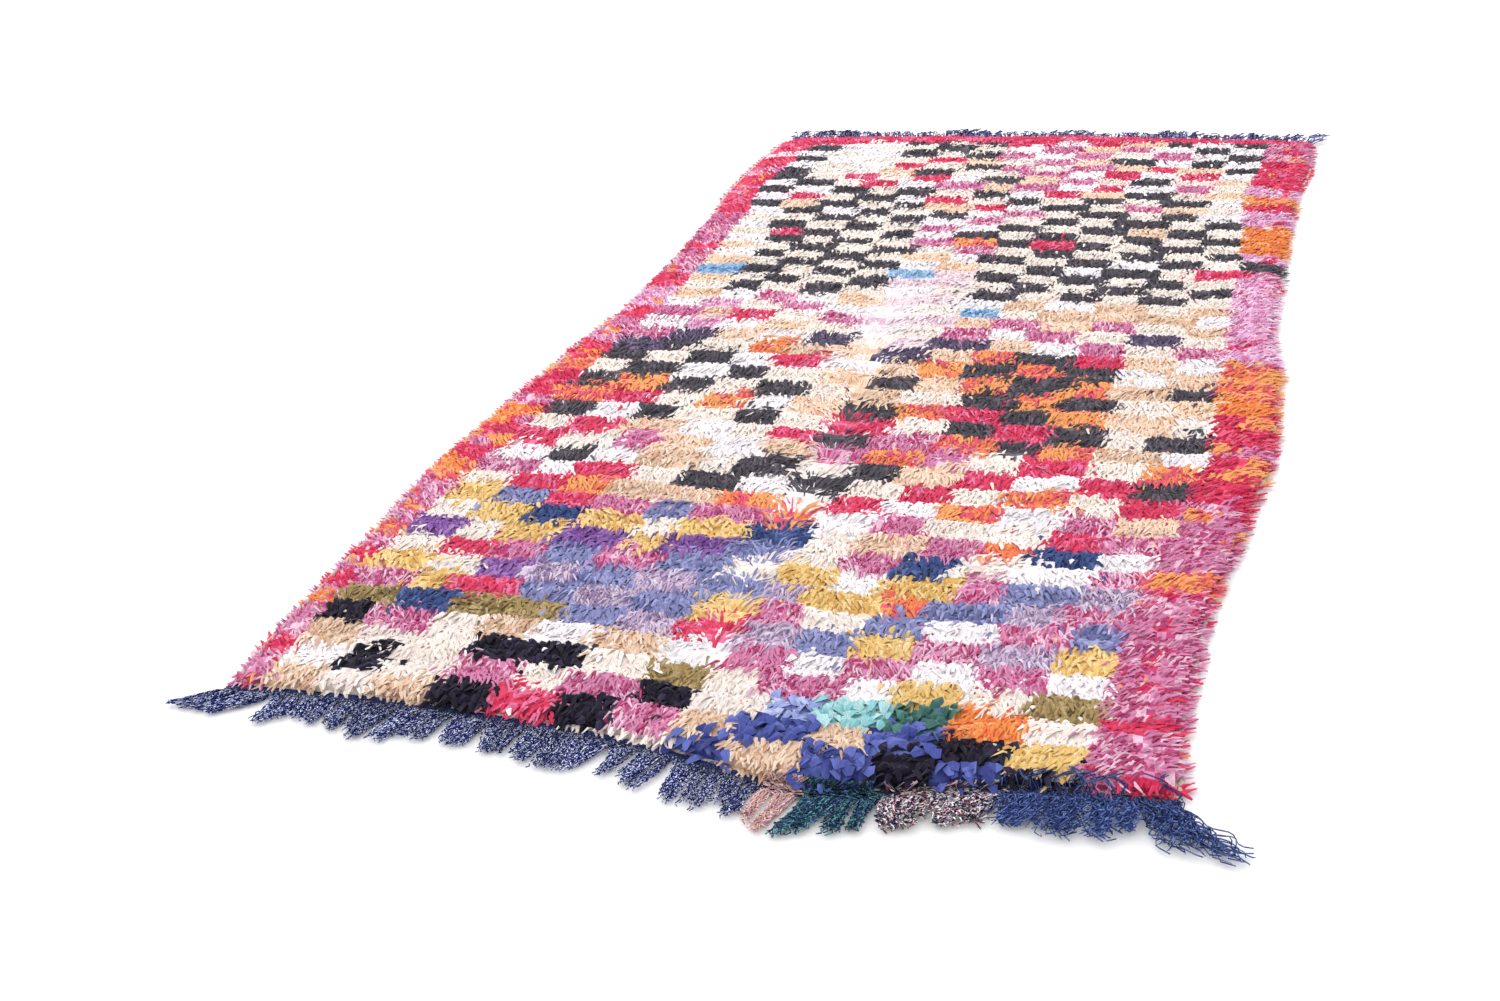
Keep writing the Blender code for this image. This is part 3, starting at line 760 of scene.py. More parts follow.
def unit(vectors):
    return vectors / np.maximum(np.linalg.norm(vectors, axis=-1, keepdims=True), 1e-9)


rug_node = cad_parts["rug"]
rug_tree = BVHTree.FromPolygons([v.co for v in rug_node.data.vertices],
                                [p.vertices[:] for p in rug_node.data.polygons])
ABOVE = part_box("rug")[1].z + 0.1


def solid_top(x, y):
    """The height of the rug's solid at each point, and nought beside it."""
    heights = np.zeros(len(x))
    down = Vector((0, 0, -1))
    for k, (px, py) in enumerate(zip(x.tolist(), y.tolist())):
        hit = rug_tree.ray_cast(Vector((px, py, ABOVE)), down)[0]
        heights[k] = hit.z if hit else 0.0
    return heights


# The lower halves of the rags stand packed so close that they make one rough bed of colour, which
# slopes down to the ground along the near edge and at the near corners
BED_STEP = 0.0115
BED_WIDTH = 1.25
BED_LENGTH = 2.60
BED_INSET = 0.011
BED_END_INSET = 0.006
BED_SHORTER = 0.014
BED_SUNK = 0.0027
BED_ROUGHNESS = 0.0022
BED_DRIFT = 0.013
BED_LOWEST = 0.0065
SLOPE_FOOT = 0.0044
SLOPE_RISE = 0.030
SLOPE_LENGTH = 0.030
NEAR_CORNER_Y = -1.31

bm = bmesh.new()
bmesh.ops.create_grid(bm, x_segments=int(BED_WIDTH / BED_STEP), y_segments=int(BED_LENGTH / BED_STEP),
                      size=1.0)
grid = np.array([vert.co[:2] for vert in bm.verts])
bed_low = NEAR_Y + BED_END_INSET
level = bed_low + (grid[:, 1] + 1) / 2 * (FAR_Y - bed_low)
low_x = follow(SIDES, "y", "left", level) + BED_INSET
high_x = follow(SIDES, "y", "right", level) - BED_INSET
bed_x = low_x + (high_x - low_x) * (grid[:, 0] + 1) / 2
bed_run = far_edge(bed_x) - near_edge(bed_x) - BED_SHORTER
bed_y = near_edge(bed_x) + BED_END_INSET + (grid[:, 1] + 1) / 2 * bed_run
bumps = BED_ROUGHNESS * (chance(bed_x * 900, bed_y * 700, 5.0) - 0.5)
bed_z = np.maximum(solid_top(bed_x, bed_y) - BED_SUNK + bumps, BED_LOWEST)
from_end = np.clip((bed_y - near_edge(bed_x)) / SLOPE_LENGTH, 0.0, 1.0)
from_side = np.clip((np.minimum(*foot(bed_x, bed_y)) - BED_INSET) / SLOPE_LENGTH, 0.0, 1.0)
past_corner = np.clip((bed_y - NEAR_CORNER_Y) / SLOPE_LENGTH, 0.0, 1.0)
slope = np.minimum(from_end, np.maximum(from_side, past_corner))
bed_z = np.minimum(bed_z, SLOPE_FOOT + SLOPE_RISE * slope)
for vert, x, y, z in zip(bm.verts, bed_x.tolist(), bed_y.tolist(), bed_z.tolist()):
    vert.co = (x, y, z)
rim = [edge for edge in bm.edges if edge.is_boundary]
rim = bmesh.ops.extrude_edge_only(bm, edges=rim)["geom"]
foot_verts = {item for item in rim if isinstance(item, bmesh.types.BMVert)}
foot_edges = [item for item in rim if isinstance(item, bmesh.types.BMEdge)
              and foot_verts.issuperset(item.verts)]
for vert in foot_verts:
    vert.co.z = PILE_ROOT_HEIGHT
bmesh.ops.triangle_fill(bm, use_beauty=True, edges=foot_edges)
bmesh.ops.recalc_face_normals(bm, faces=bm.faces[:])
bed_mesh = bpy.data.meshes.new("pile_bed")
bm.to_mesh(bed_mesh)
bm.free()
paint_faces(bed_mesh, "rag", BED_DRIFT)


def knot_places():
    """Where the knots are tied, row by row and a little out of line, with a key and a turn for each.

    The turn spreads evenly from 0 to 1, so a cut that keeps some of its knots leaves no holes.
    """
    rows = int((FAR_Y + FAR_BULGE - NEAR_Y + 0.08) / PILE_PITCH)
    columns = int(2 * KNOTS_HALF_WIDTH / PILE_PITCH)
    row, column = np.meshgrid(np.arange(rows), np.arange(columns), indexing="ij")
    row, column = row.reshape(-1), column.reshape(-1)
    staggered = column + 0.5 * (row % 2) + KNOT_SCATTER * (chance(row, column, 31.0) - 0.5)
    x = -KNOTS_HALF_WIDTH + staggered * PILE_PITCH
    y = KNOTS_NEAR_Y + (row + KNOT_SCATTER * (chance(row, column, 32.0) - 0.5)) * PILE_PITCH
    left, right = foot(x, y)
    inside = (left > 0.005) & (right > 0.005)
    inside &= (y > near_edge(x) + 0.004) & (y < far_edge(x) - 0.003)
    turn = (column * 0.75488 + row * 0.56984) % 1.0
    return x[inside], y[inside], (row * 1.0 + column * 0.37)[inside], turn[inside]


# Which rag each knot has: mostly its brick's own, and here and there one from a brick nearby
STRAY_SHARE = 0.05
STRAY_REACH = 0.030
KNOT_DRIFT = 0.006

x, y, key, turn = knot_places()
stray = np.where(chance(key, 44.0) < STRAY_SHARE, STRAY_REACH, 0.0)
stray_turn = 6.283 * chance(key, 45.0)
rag = rag_at(x + stray * np.cos(stray_turn), y + KNOT_DRIFT + stray * np.sin(stray_turn))
kept = turn < cut_values(rag, "keep")
x, y, key, rag = x[kept], y[kept], key[kept], rag[kept]
count = len(x)
draws = [chance(key, float(50 + k), x * 3.1) for k in range(10)]
to_left, to_right = foot(x, y)
to_far = far_edge(x) - y
to_near = y - near_edge(x)

# Which way each rag lies: towards the near end in the field, here and there brushed back, upwards
# and outwards from the crease, and across both borders, outwards at the rim
NEARWARD, FARWARD = math.radians(-90), math.radians(90)
FIELD_SWAY = 1.2
BACK_TURN = 2.4
FIELD_SCATTER = 1.4
BORDER_SCATTER = 0.75
END_SCATTER = 1.5
CREASE_NEAR_Y = -1.22
CREASE_FAR_Y = 0.36
CREASE_HALF_WIDTH = 0.040
LEFT_LIE, LEFT_RIM_LIE = math.radians(-48), math.radians(138)
RIGHT_LIE, RIGHT_RIM_LIE = math.radians(-134), math.radians(36)
LEFT_RIM, RIGHT_RIM = 0.040, 0.046
RIM_RAGGEDNESS = 0.030

angle = NEARWARD + FIELD_SWAY * (soft_noise(x, y, 0.045, 12.0) - 0.5)
goes_back = soft_noise(x, y, 0.060, 13.0) + 0.25 * (draws[7] - 0.5) > 0.80
angle = angle + np.where(goes_back, BACK_TURN, 0.0)
from_crease = x - follow(CREASE, "y", "x", y)
fan = np.clip((CREASE_FAR_Y - y) / 0.25, 0, 1) * np.clip((y - CREASE_NEAR_Y) / 0.12, 0, 1)
fan = fan * swell(from_crease, 0.0, CREASE_HALF_WIDTH)
brushed = FARWARD - 1.05 * np.tanh(from_crease / 0.014)
angle = np.where(fan > 0.25 + 0.5 * draws[8], brushed, angle)
left_border, right_border = borders(y)
on_left, on_right = to_left < left_border + 0.006, to_right < right_border + 0.006
rim_left = to_left + RIM_RAGGEDNESS * (draws[8] - 0.5) < LEFT_RIM
rim_right = to_right + RIM_RAGGEDNESS * (draws[8] - 0.5) < RIGHT_RIM
angle = np.where(on_left, np.where(rim_left, LEFT_RIM_LIE, LEFT_LIE), angle)
angle = np.where(on_right, np.where(rim_right, RIGHT_RIM_LIE, RIGHT_LIE), angle)
scatter = np.where(on_left | on_right, BORDER_SCATTER, FIELD_SCATTER - 0.8 * fan)
angle = angle + scatter * (draws[0] - 0.5)
at_end = (to_near < 0.024) & (to_left > 0.012) & (to_right > 0.012)
end_lie = math.radians(-92) - 0.3 * on_left + 0.3 * on_right + END_SCATTER * (draws[0] - 0.5)
angle = np.where(at_end, end_lie, angle)
lean = np.stack([np.cos(angle), np.sin(angle)], 1)

# How far each rag reaches: longer at the crease, shorter in the far half, and held back where it
# would hang too far over the header or the floor. The heavy rags of the near edge may hang further.
CREASE_EXTRA = 0.70
FAR_SHORTAGE = 0.18
LEAST_REACH = 0.006
END_OVERHANG = 0.0065
HEAVY_OVERHANG = 0.004
SIDE_OVERHANG = 0.004

reach = cut_values(rag, "reach") * (0.75 + 0.50 * draws[1])
reach = reach * (1 + CREASE_EXTRA * fan) * (1 - FAR_SHORTAGE * np.clip((y + 0.05) / 0.15, 0, 1))
reach = reach * np.clip((to_far + 0.012) / 0.030, 0.4, 1.0)
heavy = np.clip((x - 0.02) / 0.05, 0, 1) * np.clip((0.60 - x) / 0.05, 0, 1)
overhang = END_OVERHANG + HEAVY_OVERHANG * heavy
overhang = overhang + (0.006 + 0.003 * heavy) * soft_noise(x, y, 0.04, 17.0)
room = (to_near + overhang + 0.004 * draws[9]) / np.maximum(0.3, -lean[:, 1])
reach = np.minimum(reach, np.maximum(room, LEAST_REACH))
room = np.where(lean[:, 0] > 0, to_right, to_left) + SIDE_OVERHANG
room = room + 0.011 * soft_noise(x, y, 0.05, 18.0) + 0.005 * draws[9]
reach = np.minimum(reach, np.maximum(room / np.maximum(0.3, np.abs(lean[:, 0])), LEAST_REACH))

# How high its crest and its tip stand, both near the solid's top, and lower where they hang over
EDGE_CREST = 0.0115
CREST_SUNK = 0.0010
CREASE_SUNK = 0.0020
TIP_DROP = 0.0012
TIP_SCATTER = 0.0030
LEAST_TIP = 0.0025
ROOT_DEPTH = 0.0065
CREST_PLACE = 0.42

crest = solid_top(x + lean[:, 0] * reach * 0.5, y + lean[:, 1] * reach * 0.5)
low_crest = EDGE_CREST * np.exp(-(EDGE_CREST - crest) / 0.02) * (crest < EDGE_CREST)
crest = np.maximum(crest, low_crest)
crest = crest - CREST_SUNK + cut_values(rag, "lift") * (2.6 * draws[2] - 1.0)
crest = crest - CREASE_SUNK * fan
over_left, over_right = foot(x + lean[:, 0] * reach, y)
over = np.clip((SIDE_OVERHANG - np.minimum(over_left, over_right)) / 0.018, 0, 1)
tip_z = np.maximum(LEAST_TIP, crest - TIP_DROP - TIP_SCATTER * draws[3])
tip_z = tip_z * (1 - over) + over * (PILE_ROOT_HEIGHT + TIP_SCATTER * draws[3])
crest = crest * (1 - 0.35 * over)

at_edge = (to_near < 0.022) | (to_far < 0.014) | (np.minimum(to_left, to_right) < 0.016)
root_z = np.where(at_edge, PILE_ROOT_HEIGHT, np.maximum(PILE_ROOT_HEIGHT, crest - ROOT_DEPTH))
rise = np.array([0.0, 0.0, 1.0])
root = np.stack([x, y, root_z], 1)
flat_lean = np.concatenate([lean, np.zeros((count, 1))], 1)
middle = root + flat_lean * (reach * CREST_PLACE)[:, None] + rise * (crest - root_z)[:, None]
tip = root + flat_lean * reach[:, None] + rise * (tip_z - root_z)[:, None]
width = cut_values(rag, "width") * (0.75 + 0.5 * draws[4]) * (1 - 0.40 * fan)
depth = cut_values(rag, "depth") * (0.8 + 0.4 * draws[5])
roll = cut_values(rag, "roll") * 2.2 * (draws[6] - 0.5)
side = np.stack([-flat_lean[:, 1], flat_lean[:, 0], np.zeros(count)], 1)
points = np.zeros((count, 7, 3))

# Its root, crest and tip: the first corner there, the way it runs, its share of the width and roll
for first, place, run, wide, turned in ((0, root, middle - root, 0.80, 0.3),
                                        (2, middle, tip - root, 1.00, 0.7),
                                        (5, tip, tip - middle, 0.45, 1.3)):
    run = unit(run)
    up = unit(np.cross(run, side))
    turned_side = side * np.cos(roll * turned)[:, None] + up * np.sin(roll * turned)[:, None]
    half = turned_side * (width * wide / 2)[:, None]
    points[:, first] = place - half
    points[:, first + 1] = place + half
    if first == 2:
        points[:, 4] = place + unit(np.cross(run, turned_side)) * depth[:, None]
points[:, :, 2] = np.maximum(points[:, :, 2], 0.0008)

# Its colour: shades in patches, a tone for each brick, painted shade that darkens it at the root and a
# painted highlight on its ridge. The fourth number runs across the rag and carries its folds, which the
# finish darkens with painted shade.
FOLD_WIDTH = 0.0016
# The painted shade that darkens a rag in its folds
PAINTED_FOLD_SHADE = (0.72, 0.69, 0.73, 1)

patch = np.where(rag == RAG_INDEX["ember"], 0.80, 0.50)
patch = patch * soft_noise(x, y, 0.038, 14.0) + (1 - patch) * draws[8]
shade_draw = np.clip((patch - 0.20) / 0.60, 0, 1)
course, column = find_brick(x, y)
tone = 0.95 + 0.10 * chance(course, column, 61.0) + 0.10 * (draws[5] - 0.5)
colour = shade_of(rag, shade_draw) * tone[:, None]
# Painted shade darkens the root corners and the crest's sides a little, and a painted highlight lightens
# the ridge
painted_root_shade_and_ridge_highlight = np.array([0.88] * 2 + [0.98] * 2 + [1.03] + [1.0] * 2)
across = np.array([0.0, 1.0, 0.0, 1.0, 0.5, 0.0, 1.0])[None, :] * (width / FOLD_WIDTH)[:, None]
across = across + (60.0 * draws[7])[:, None]
colours = np.clip(colour[:, None, :] * painted_root_shade_and_ridge_highlight[None, :, None], 0, 1)
colours = np.concatenate([colours, across[:, :, None]], 2)

rag_finish = Finish("rags", 0.95, 0.12)
own = rag_finish.add("ShaderNodeAttribute", {"attribute_name": "rag"}).outputs
along_x, along_y, spot = rag_finish.place()
fibre = rag_finish.noise(spot, 700.0, 3.0)
folded = rag_finish.add("ShaderNodeCombineXYZ", inputs={
    0: own["Alpha"], 1: along_x * 90.0, 2: along_y * 90.0}).outputs[0]
fold = rag_finish.noise(folded, 1.0, 1.0)
# Painted shade: where the fold pattern is low the rag's colour is darkened, as in the shade of a crease
painted_fold_shade_colour = rag_finish.mix(1.0, own["Color"], PAINTED_FOLD_SHADE, "MULTIPLY")
rag_finish.set("Base Color", rag_finish.mix((fold - 0.36) * 4.5 + fibre * 0.4, painted_fold_shade_colour, own["Color"]))
rag_finish.bump(fold + fibre * 0.3, 0.5, 0.0009)

pile = [add_piece("pile_bed", bed_mesh, rag_finish, ["rug"], smooth=False)]
for k, chosen in enumerate(np.array_split(np.argsort(y, kind="stable"), PILE_PIECES)):
    tufts = join_many(f"pile_{k + 1}", points[chosen], RAG_FACES, colours[chosen], "rag")
    give_each_a_cell(tufts, len(chosen), RAG_CELL)
    pile.append(add_piece(f"pile_{k + 1}", tufts, rag_finish, ["rug"], smooth=False))


# The near header and fringe.
# The weaving starts with a twined band in navy wool, and the warps are left long below it. Weft
# yarns of other colours were tied in along it: marl, salmon, green, tweed and a loose blue tassel.

GAP = 0.0004
NEAR_HEADER_WIDTH = 0.014
HEADER_HEIGHT = 0.0045
HEADER_ROWS = 3
HEADER_STEPS = 160
HEADER_OVERLAP = 1.12
NEAR_REACH = [
    dict(x=-0.65, reach=0.050),
    dict(x=-0.62, reach=0.066),
    dict(x=-0.58, reach=0.076),
    dict(x=-0.52, reach=0.064),
    dict(x=-0.42, reach=0.074),
    dict(x=-0.30, reach=0.072),
    dict(x=-0.20, reach=0.074),
    dict(x=-0.12, reach=0.074),
    dict(x=0.00, reach=0.068),
    dict(x=0.12, reach=0.066),
    dict(x=0.22, reach=0.082),
    dict(x=0.30, reach=0.070),
    dict(x=0.38, reach=0.058),
    dict(x=0.50, reach=0.072),
    dict(x=0.58, reach=0.078),
    dict(x=0.64, reach=0.086),
]
# Each fringe's shade sets the painted shade of its yarns near the header: how dark they are drawn at
# their roots
NEAR_YARNS = [
    dict(name="marl", start=-0.6520, end=0.1550, locks=64, yarns=12, rings=16,
         radius=0.0013, curl=0.0021, waves=60.0, loose=0.012, height=0.0085, root=-0.03, back=-0.03,
         shade=0.45, fleck=215.0,
         stops=[(0.0, (16, 32, 106)), (0.530, (222, 228, 252)), (0.610, (28, 48, 124))]),
    dict(name="salmon", start=0.1554, end=0.2030, locks=4, yarns=11, rings=18,
         radius=0.0014, curl=0.0030, waves=75.0, loose=0.012, height=0.0070, root=-0.16, back=-0.16,
         shade=0.70, fleck=180.0,
         stops=[(0.0, (212, 160, 158)), (0.48, (240, 202, 194)), (0.58, (172, 146, 168))]),
    dict(name="green", start=0.2034, end=0.3000, locks=8, yarns=12, rings=18,
         radius=0.0014, curl=0.0034, waves=75.0, loose=0.014, height=0.0080, root=-0.16, back=-0.16,
         shade=0.60, fleck=125.0,
         stops=[(0.0, (26, 58, 84)), (0.48, (92, 150, 152)), (0.55, (34, 46, 110))]),
    dict(name="tweed", start=0.3004, end=0.4370, locks=11, yarns=12, rings=18,
         radius=0.0018, curl=0.0044, waves=80.0, loose=0.018, height=0.0120, root=-0.16, back=-0.16,
         shade=0.60, fleck=160.0,
         stops=[(0.0, (38, 40, 66)), (0.44, (232, 230, 234)), (0.53, (200, 52, 70)),
                (0.57, (50, 68, 124)), (0.62, (136, 150, 152))]),
    dict(name="blue", start=0.4374, end=0.6400, locks=16, yarns=13, rings=20,
         radius=0.0011, curl=0.0074, waves=34.0, loose=0.026, height=0.0150, root=-0.08, back=-0.40,
         shade=0.62, fleck=160.0,
         stops=[(0.0, (42, 60, 120)), (0.50, (98, 120, 182)), (0.62, (32, 48, 104))]),
]

# The places along the near fringe where it parts into sheaves, and how far each parting opens
NEAR_PARTINGS = [
    (-0.720, 0.0), (-0.572, 0.046), (-0.525, 0.010), (-0.468, 0.026), (-0.428, 0.018), (-0.382, 0.032),
    (-0.338, 0.008), (-0.295, 0.022), (-0.240, 0.020), (-0.188, 0.022), (-0.150, 0.008), (-0.110, 0.018),
    (-0.060, 0.028), (-0.020, 0.008), (0.022, 0.018), (0.064, 0.008), (0.105, 0.020), (0.155, 0.012),
    (0.203, 0.012), (0.252, 0.014), (0.300, 0.028), (0.362, 0.018), (0.405, 0.020), (0.440, 0.034),
    (0.490, 0.030), (0.536, 0.022), (0.580, 0.032), (0.615, 0.012), (0.700, 0.0),
]

# How the yarns lie swept sideways at the two corners, the long tassel most of all
CORNER_SWINGS = [
    dict(x=-0.65, half_width=0.070, across=-0.062),
    dict(x=0.64, half_width=0.060, across=0.090),
]
CLUMP_PITCH = 0.048


def near_path(x, reach, share):
    """The middle of a near strand on the floor, a share of the way to its tip."""
    swing = sum(row["across"] * swell(x, row["x"], row["half_width"]) for row in CORNER_SWINGS)
    swing = swing - 0.008 + 0.006 * np.sin(x * 21.0)
    clump = -0.0042 * np.sin(2 * math.pi * x / CLUMP_PITCH)
    wave = 0.0035 * np.sin(math.pi * share * 1.5) * np.sin(x * 33.0 + 1.0)
    bent = np.sign(share) * np.abs(share) ** 1.4
    across = x + swing * bent + clump * share + wave
    return across, near_edge(x) - GAP - NEAR_HEADER_WIDTH - reach * share


def lock_middles(start, end, locks):
    """Where a fringe's locks leave the header, as on the solids."""
    return start + (end - start) * (2 * np.arange(locks) + 1.5) / (2 * locks + 1)


def yarn_faces(rings):
    """Faces of a three-sided yarn: its root cap, its sides and its tip cap."""
    faces = [(0, 1, 2)]
    for k in range(rings - 1):
        low, high = 3 * k, 3 * k + 3
        faces += [(low + a, high + a, high + b, low + b) for a, b in ((0, 1), (1, 2), (2, 0))]
    last = 3 * (rings - 1)
    return faces + [(last + 2, last + 1, last)]


# How far a fringe's yarns leave their locks, and where some are thrown back over the pile
LOCK_OVERLAP = 1.25
SHEAF_SWING = 0.016
SHORTER_BESIDE = 0.26
WIDE_PARTING = 0.03
LOOSE_CORNER = dict(x=-0.65, half_width=0.035, extra=2.2)
THROWN_BACK = 0.25
CORNER_RAG = (0.57, 0.628)
YARN_REST = 0.0030
YARN_TAPER = 0.20


def hang_yarns(path, middles, reaches, sort):
    """The middle line of each yarn of a fringe, with its seed, its sheaf and its reach.

    The yarns follow their locks, draw away from the partings on both sides of their sheaf, and
    crinkle. Some start behind the header, thrown back over the pile, but none over the corner rag.
    """
    number = np.arange(len(middles) * sort["yarns"])
    lock = number // sort["yarns"]
    seed = number * 1.0 + 100.0 * middles[0]
    x = middles[lock]
    offset = (chance(seed, 2.0) - 0.5) * (middles[1] - middles[0]) * LOCK_OVERLAP
    partings = np.array(sort["partings"])
    sheaf = np.clip(np.searchsorted(partings[:, 0], x + offset), 1, len(partings) - 1)
    low, high = partings[sheaf - 1], partings[sheaf]
    beside = np.clip(2 * (x + offset - low[:, 0]) / (high[:, 0] - low[:, 0]) - 1, -1, 1)
    pull = -beside * np.abs(beside) * np.where(beside > 0, high[:, 1], low[:, 1])
    swing = SHEAF_SWING * (chance(sheaf * 1.0, 14.0) - 0.5)
    reach = reaches[lock] * (0.82 + 0.30 * chance(seed, 1.0)) * (0.88 + 0.26 * chance(sheaf * 1.0, 15.0))
    reach = reach * (1 - SHORTER_BESIDE * beside ** 2 * (low[:, 1] + high[:, 1] > WIDE_PARTING))
    stray = (chance(lock * 1.0, 8.0, middles[0]) - 0.5) + 1.2 * (chance(seed, 9.0) - 0.5)
    loose_corner = swell(x, LOOSE_CORNER["x"], LOOSE_CORNER["half_width"])
    stray = sort["loose"] * stray * (1 + LOOSE_CORNER["extra"] * loose_corner)
    layer = chance(seed, 3.0) * sort["height"]
    turns = reach * sort["waves"] * (1 + 0.8 * chance(seed, 4.0))
    start_turn = 6.28 * chance(seed, 5.0)
    size = sort["curl"] * (0.5 + chance(seed, 6.0))
    off_corner_rag = (x < CORNER_RAG[0]) | (x > CORNER_RAG[1])
    start = np.where((chance(seed, 16.0) < THROWN_BACK) & off_corner_rag, sort["back"], sort["root"])
    line = np.zeros((len(number), sort["rings"] + 1, 3))
    for k in range(sort["rings"] + 1):
        share = start + (1.0 - start) * k / sort["rings"]
        out = np.maximum(0.0, share)
        px, py = path(x, reach, share)
        loose = out ** 0.6
        phase = 6.28 * turns * share + start_turn
        drawn = pull * out ** 1.7 + swing * out
        line[:, k, 0] = px + offset + drawn + stray * loose + size * loose * np.sin(phase)
        line[:, k, 1] = py + 0.5 * size * loose * np.cos(phase * 1.3)
        lie = YARN_REST + layer * np.clip(share * 4, 0.15, 1.0) * (1 - 0.5 * out)
        lie = lie + YARN_REST * np.clip(-share * 12.0, 0.0, 1.0)
        line[:, k, 2] = lie + 0.4 * size * loose * (1 + np.cos(phase * 0.9))
        thrown = (start < -0.1) & (share < 0.10)
        if thrown.any():
            over = solid_top(line[thrown, k, 0], line[thrown, k, 1] + 0.004) + 0.0020
            line[thrown, k, 0] += 0.010 * np.sin(phase[thrown] * 0.7)
            line[thrown, k, 2] = np.maximum(line[thrown, k, 2], over)
    return line, seed, sheaf, reach


def spin_yarns(name, path, middles, reaches, sort):
    """Crinkled three-sided yarns, each point with its tone, which holds a painted shade near the header,
    its place along and its place around.
    """
    line, seed, sheaf, reach = hang_yarns(path, middles, reaches, sort)
    rings = sort["rings"]
    points = np.zeros((len(seed), 3 * rings, 3))
    tones = np.ones((len(seed), 3 * rings, 4))
    tone = (0.74 + 0.48 * chance(seed, 7.0)) * (0.82 + 0.36 * chance(sheaf * 1.0, 19.0))
    for k in range(rings):
        run = unit(line[:, k + 1] - line[:, k])
        side = unit(np.cross(run, np.array([0.0, 0.0, 1.0])))
        up = np.cross(side, run)
        thick = sort["radius"] * (1.0 - YARN_TAPER * k / rings)
        # Painted shade: the yarn is darker near the header by the fringe's shade, fading out over its
        # first part
        painted_header_shade = sort["shade"] + (1 - sort["shade"]) * min(1.0, 1.8 * k / rings)
        for j in range(3):
            turn = 2.094 * j + 0.5
            spoke = side * math.cos(turn) + up * math.sin(turn)
            points[:, 3 * k + j] = line[:, k] + spoke * thick
            tones[:, 3 * k + j, 0] = tone * painted_header_shade
            tones[:, 3 * k + j, 1] = reach * k / rings
            tones[:, 3 * k + j, 2] = 40.0 * chance(seed, 18.0) + 0.35 * j
    points[:, :, 2] = np.maximum(points[:, :, 2], 0.0003)
    return join_many(name, points, yarn_faces(rings), tones, "tone")


def yarn_finish(name, stops, scale):
    """Plied yarn: flecks of its plies drawn out along it, hairy and matte."""
    finish = Finish(name, 0.93, 0.05)
    tone = finish.add("ShaderNodeAttribute", {"attribute_name": "tone"}).outputs["Color"]
    tone, along, around = finish.add("ShaderNodeSeparateColor", inputs={"Color": tone}).outputs
    spun = finish.add("ShaderNodeCombineXYZ", inputs={
        0: around, 1: Value(finish, along) * scale}).outputs[0]
    fleck = finish.noise(spun, 1.0, 1.0)
    plies = finish.add("ShaderNodeValToRGB", {"interpolation": "CONSTANT", "stops": stops},
                       {"Fac": fleck}).outputs["Color"]
    # The tone, which carries the painted shade near the header, multiplies the plies
    finish.set("Base Color", finish.mix(1.0, plies, tone, "MULTIPLY"))
    finish.bump(fleck, 0.6, 0.0006)
    return finish


for yarn in NEAR_YARNS:
    middles = lock_middles(yarn["start"], yarn["end"], yarn["locks"])
    reaches = follow(NEAR_REACH, "x", "reach", middles)
    reaches = reaches * (0.90 + 0.20 * chance(np.round(middles * 2000), 3.0))
    yarn_mesh = spin_yarns("yarn_" + yarn["name"], near_path, middles, reaches,
                           dict(yarn, partings=NEAR_PARTINGS))
    finish = yarn_finish("yarn_" + yarn["name"], yarn["stops"], yarn["fleck"])
    add_piece("fringe_near_" + yarn["name"] + "_yarn", yarn_mesh, finish,
                             ["fringe_near_" + yarn["name"]])

# The header's rows are twined, so their twists slant across it
TWIST_PITCH = 0.0042
TWIST_SLANT = 0.8
TWINED_STOPS = [(0.0, (26, 38, 88)), (0.60, (120, 130, 170)), (0.64, (34, 50, 104))]

header_finish = Finish("twined_header", 0.93, 0.05)
along_x, along_y, spot = header_finish.place()
twist = ((along_x + along_y * TWIST_SLANT) / TWIST_PITCH).fraction()
fleck = header_finish.noise(spot, 420.0, 1.0)
twined = header_finish.add("ShaderNodeValToRGB", {"interpolation": "CONSTANT", "stops": TWINED_STOPS},
                           {"Fac": fleck}).outputs["Color"]
header_finish.set("Base Color", twined)
header_finish.bump(twist * (1 - twist) * 4.0 + fleck, 0.8, 0.0010)
header_nodes = ["fringe_near_" + yarn["name"] for yarn in NEAR_YARNS]
header_start, header_end = NEAR_YARNS[0]["start"], NEAR_YARNS[-1]["end"]
half = NEAR_HEADER_WIDTH / HEADER_ROWS / 2
for row_number in range(HEADER_ROWS):
    def header_line(share, row_number=row_number):
        x = header_start + (header_end - header_start) * share
        return x, float(near_edge(x)) - GAP - half * (2 * row_number + 1), HEADER_HEIGHT / 2
    header_mesh = wrapped_tube(f"near_header_{row_number + 1}", HEADER_STEPS, 6, header_line,
                               half * HEADER_OVERLAP, HEADER_HEIGHT / 2)
    add_piece(f"near_header_{row_number + 1}", header_mesh, header_finish,
                             header_nodes)


# The far header and fringe.
# The weaving ends in a second, narrower band. Its warps are cut short and have curled up into
# tufts of navy and violet wool, tall in some places and nearly worn away between them.

FAR_HEADER_WIDTH = 0.009
FAR_START = -0.638
FAR_END = 0.640
FAR_LOCKS = 70
BARE_REACH = 0.007
FAR_TUFTS = [
    dict(x=-0.55, half_width=0.10, reach=0.036),
    dict(x=-0.18, half_width=0.07, reach=0.034),
    dict(x=0.07, half_width=0.06, reach=0.030),
    dict(x=0.33, half_width=0.05, reach=0.046),
    dict(x=0.51, half_width=0.06, reach=0.034),
    dict(x=0.62, half_width=0.04, reach=0.040),
]

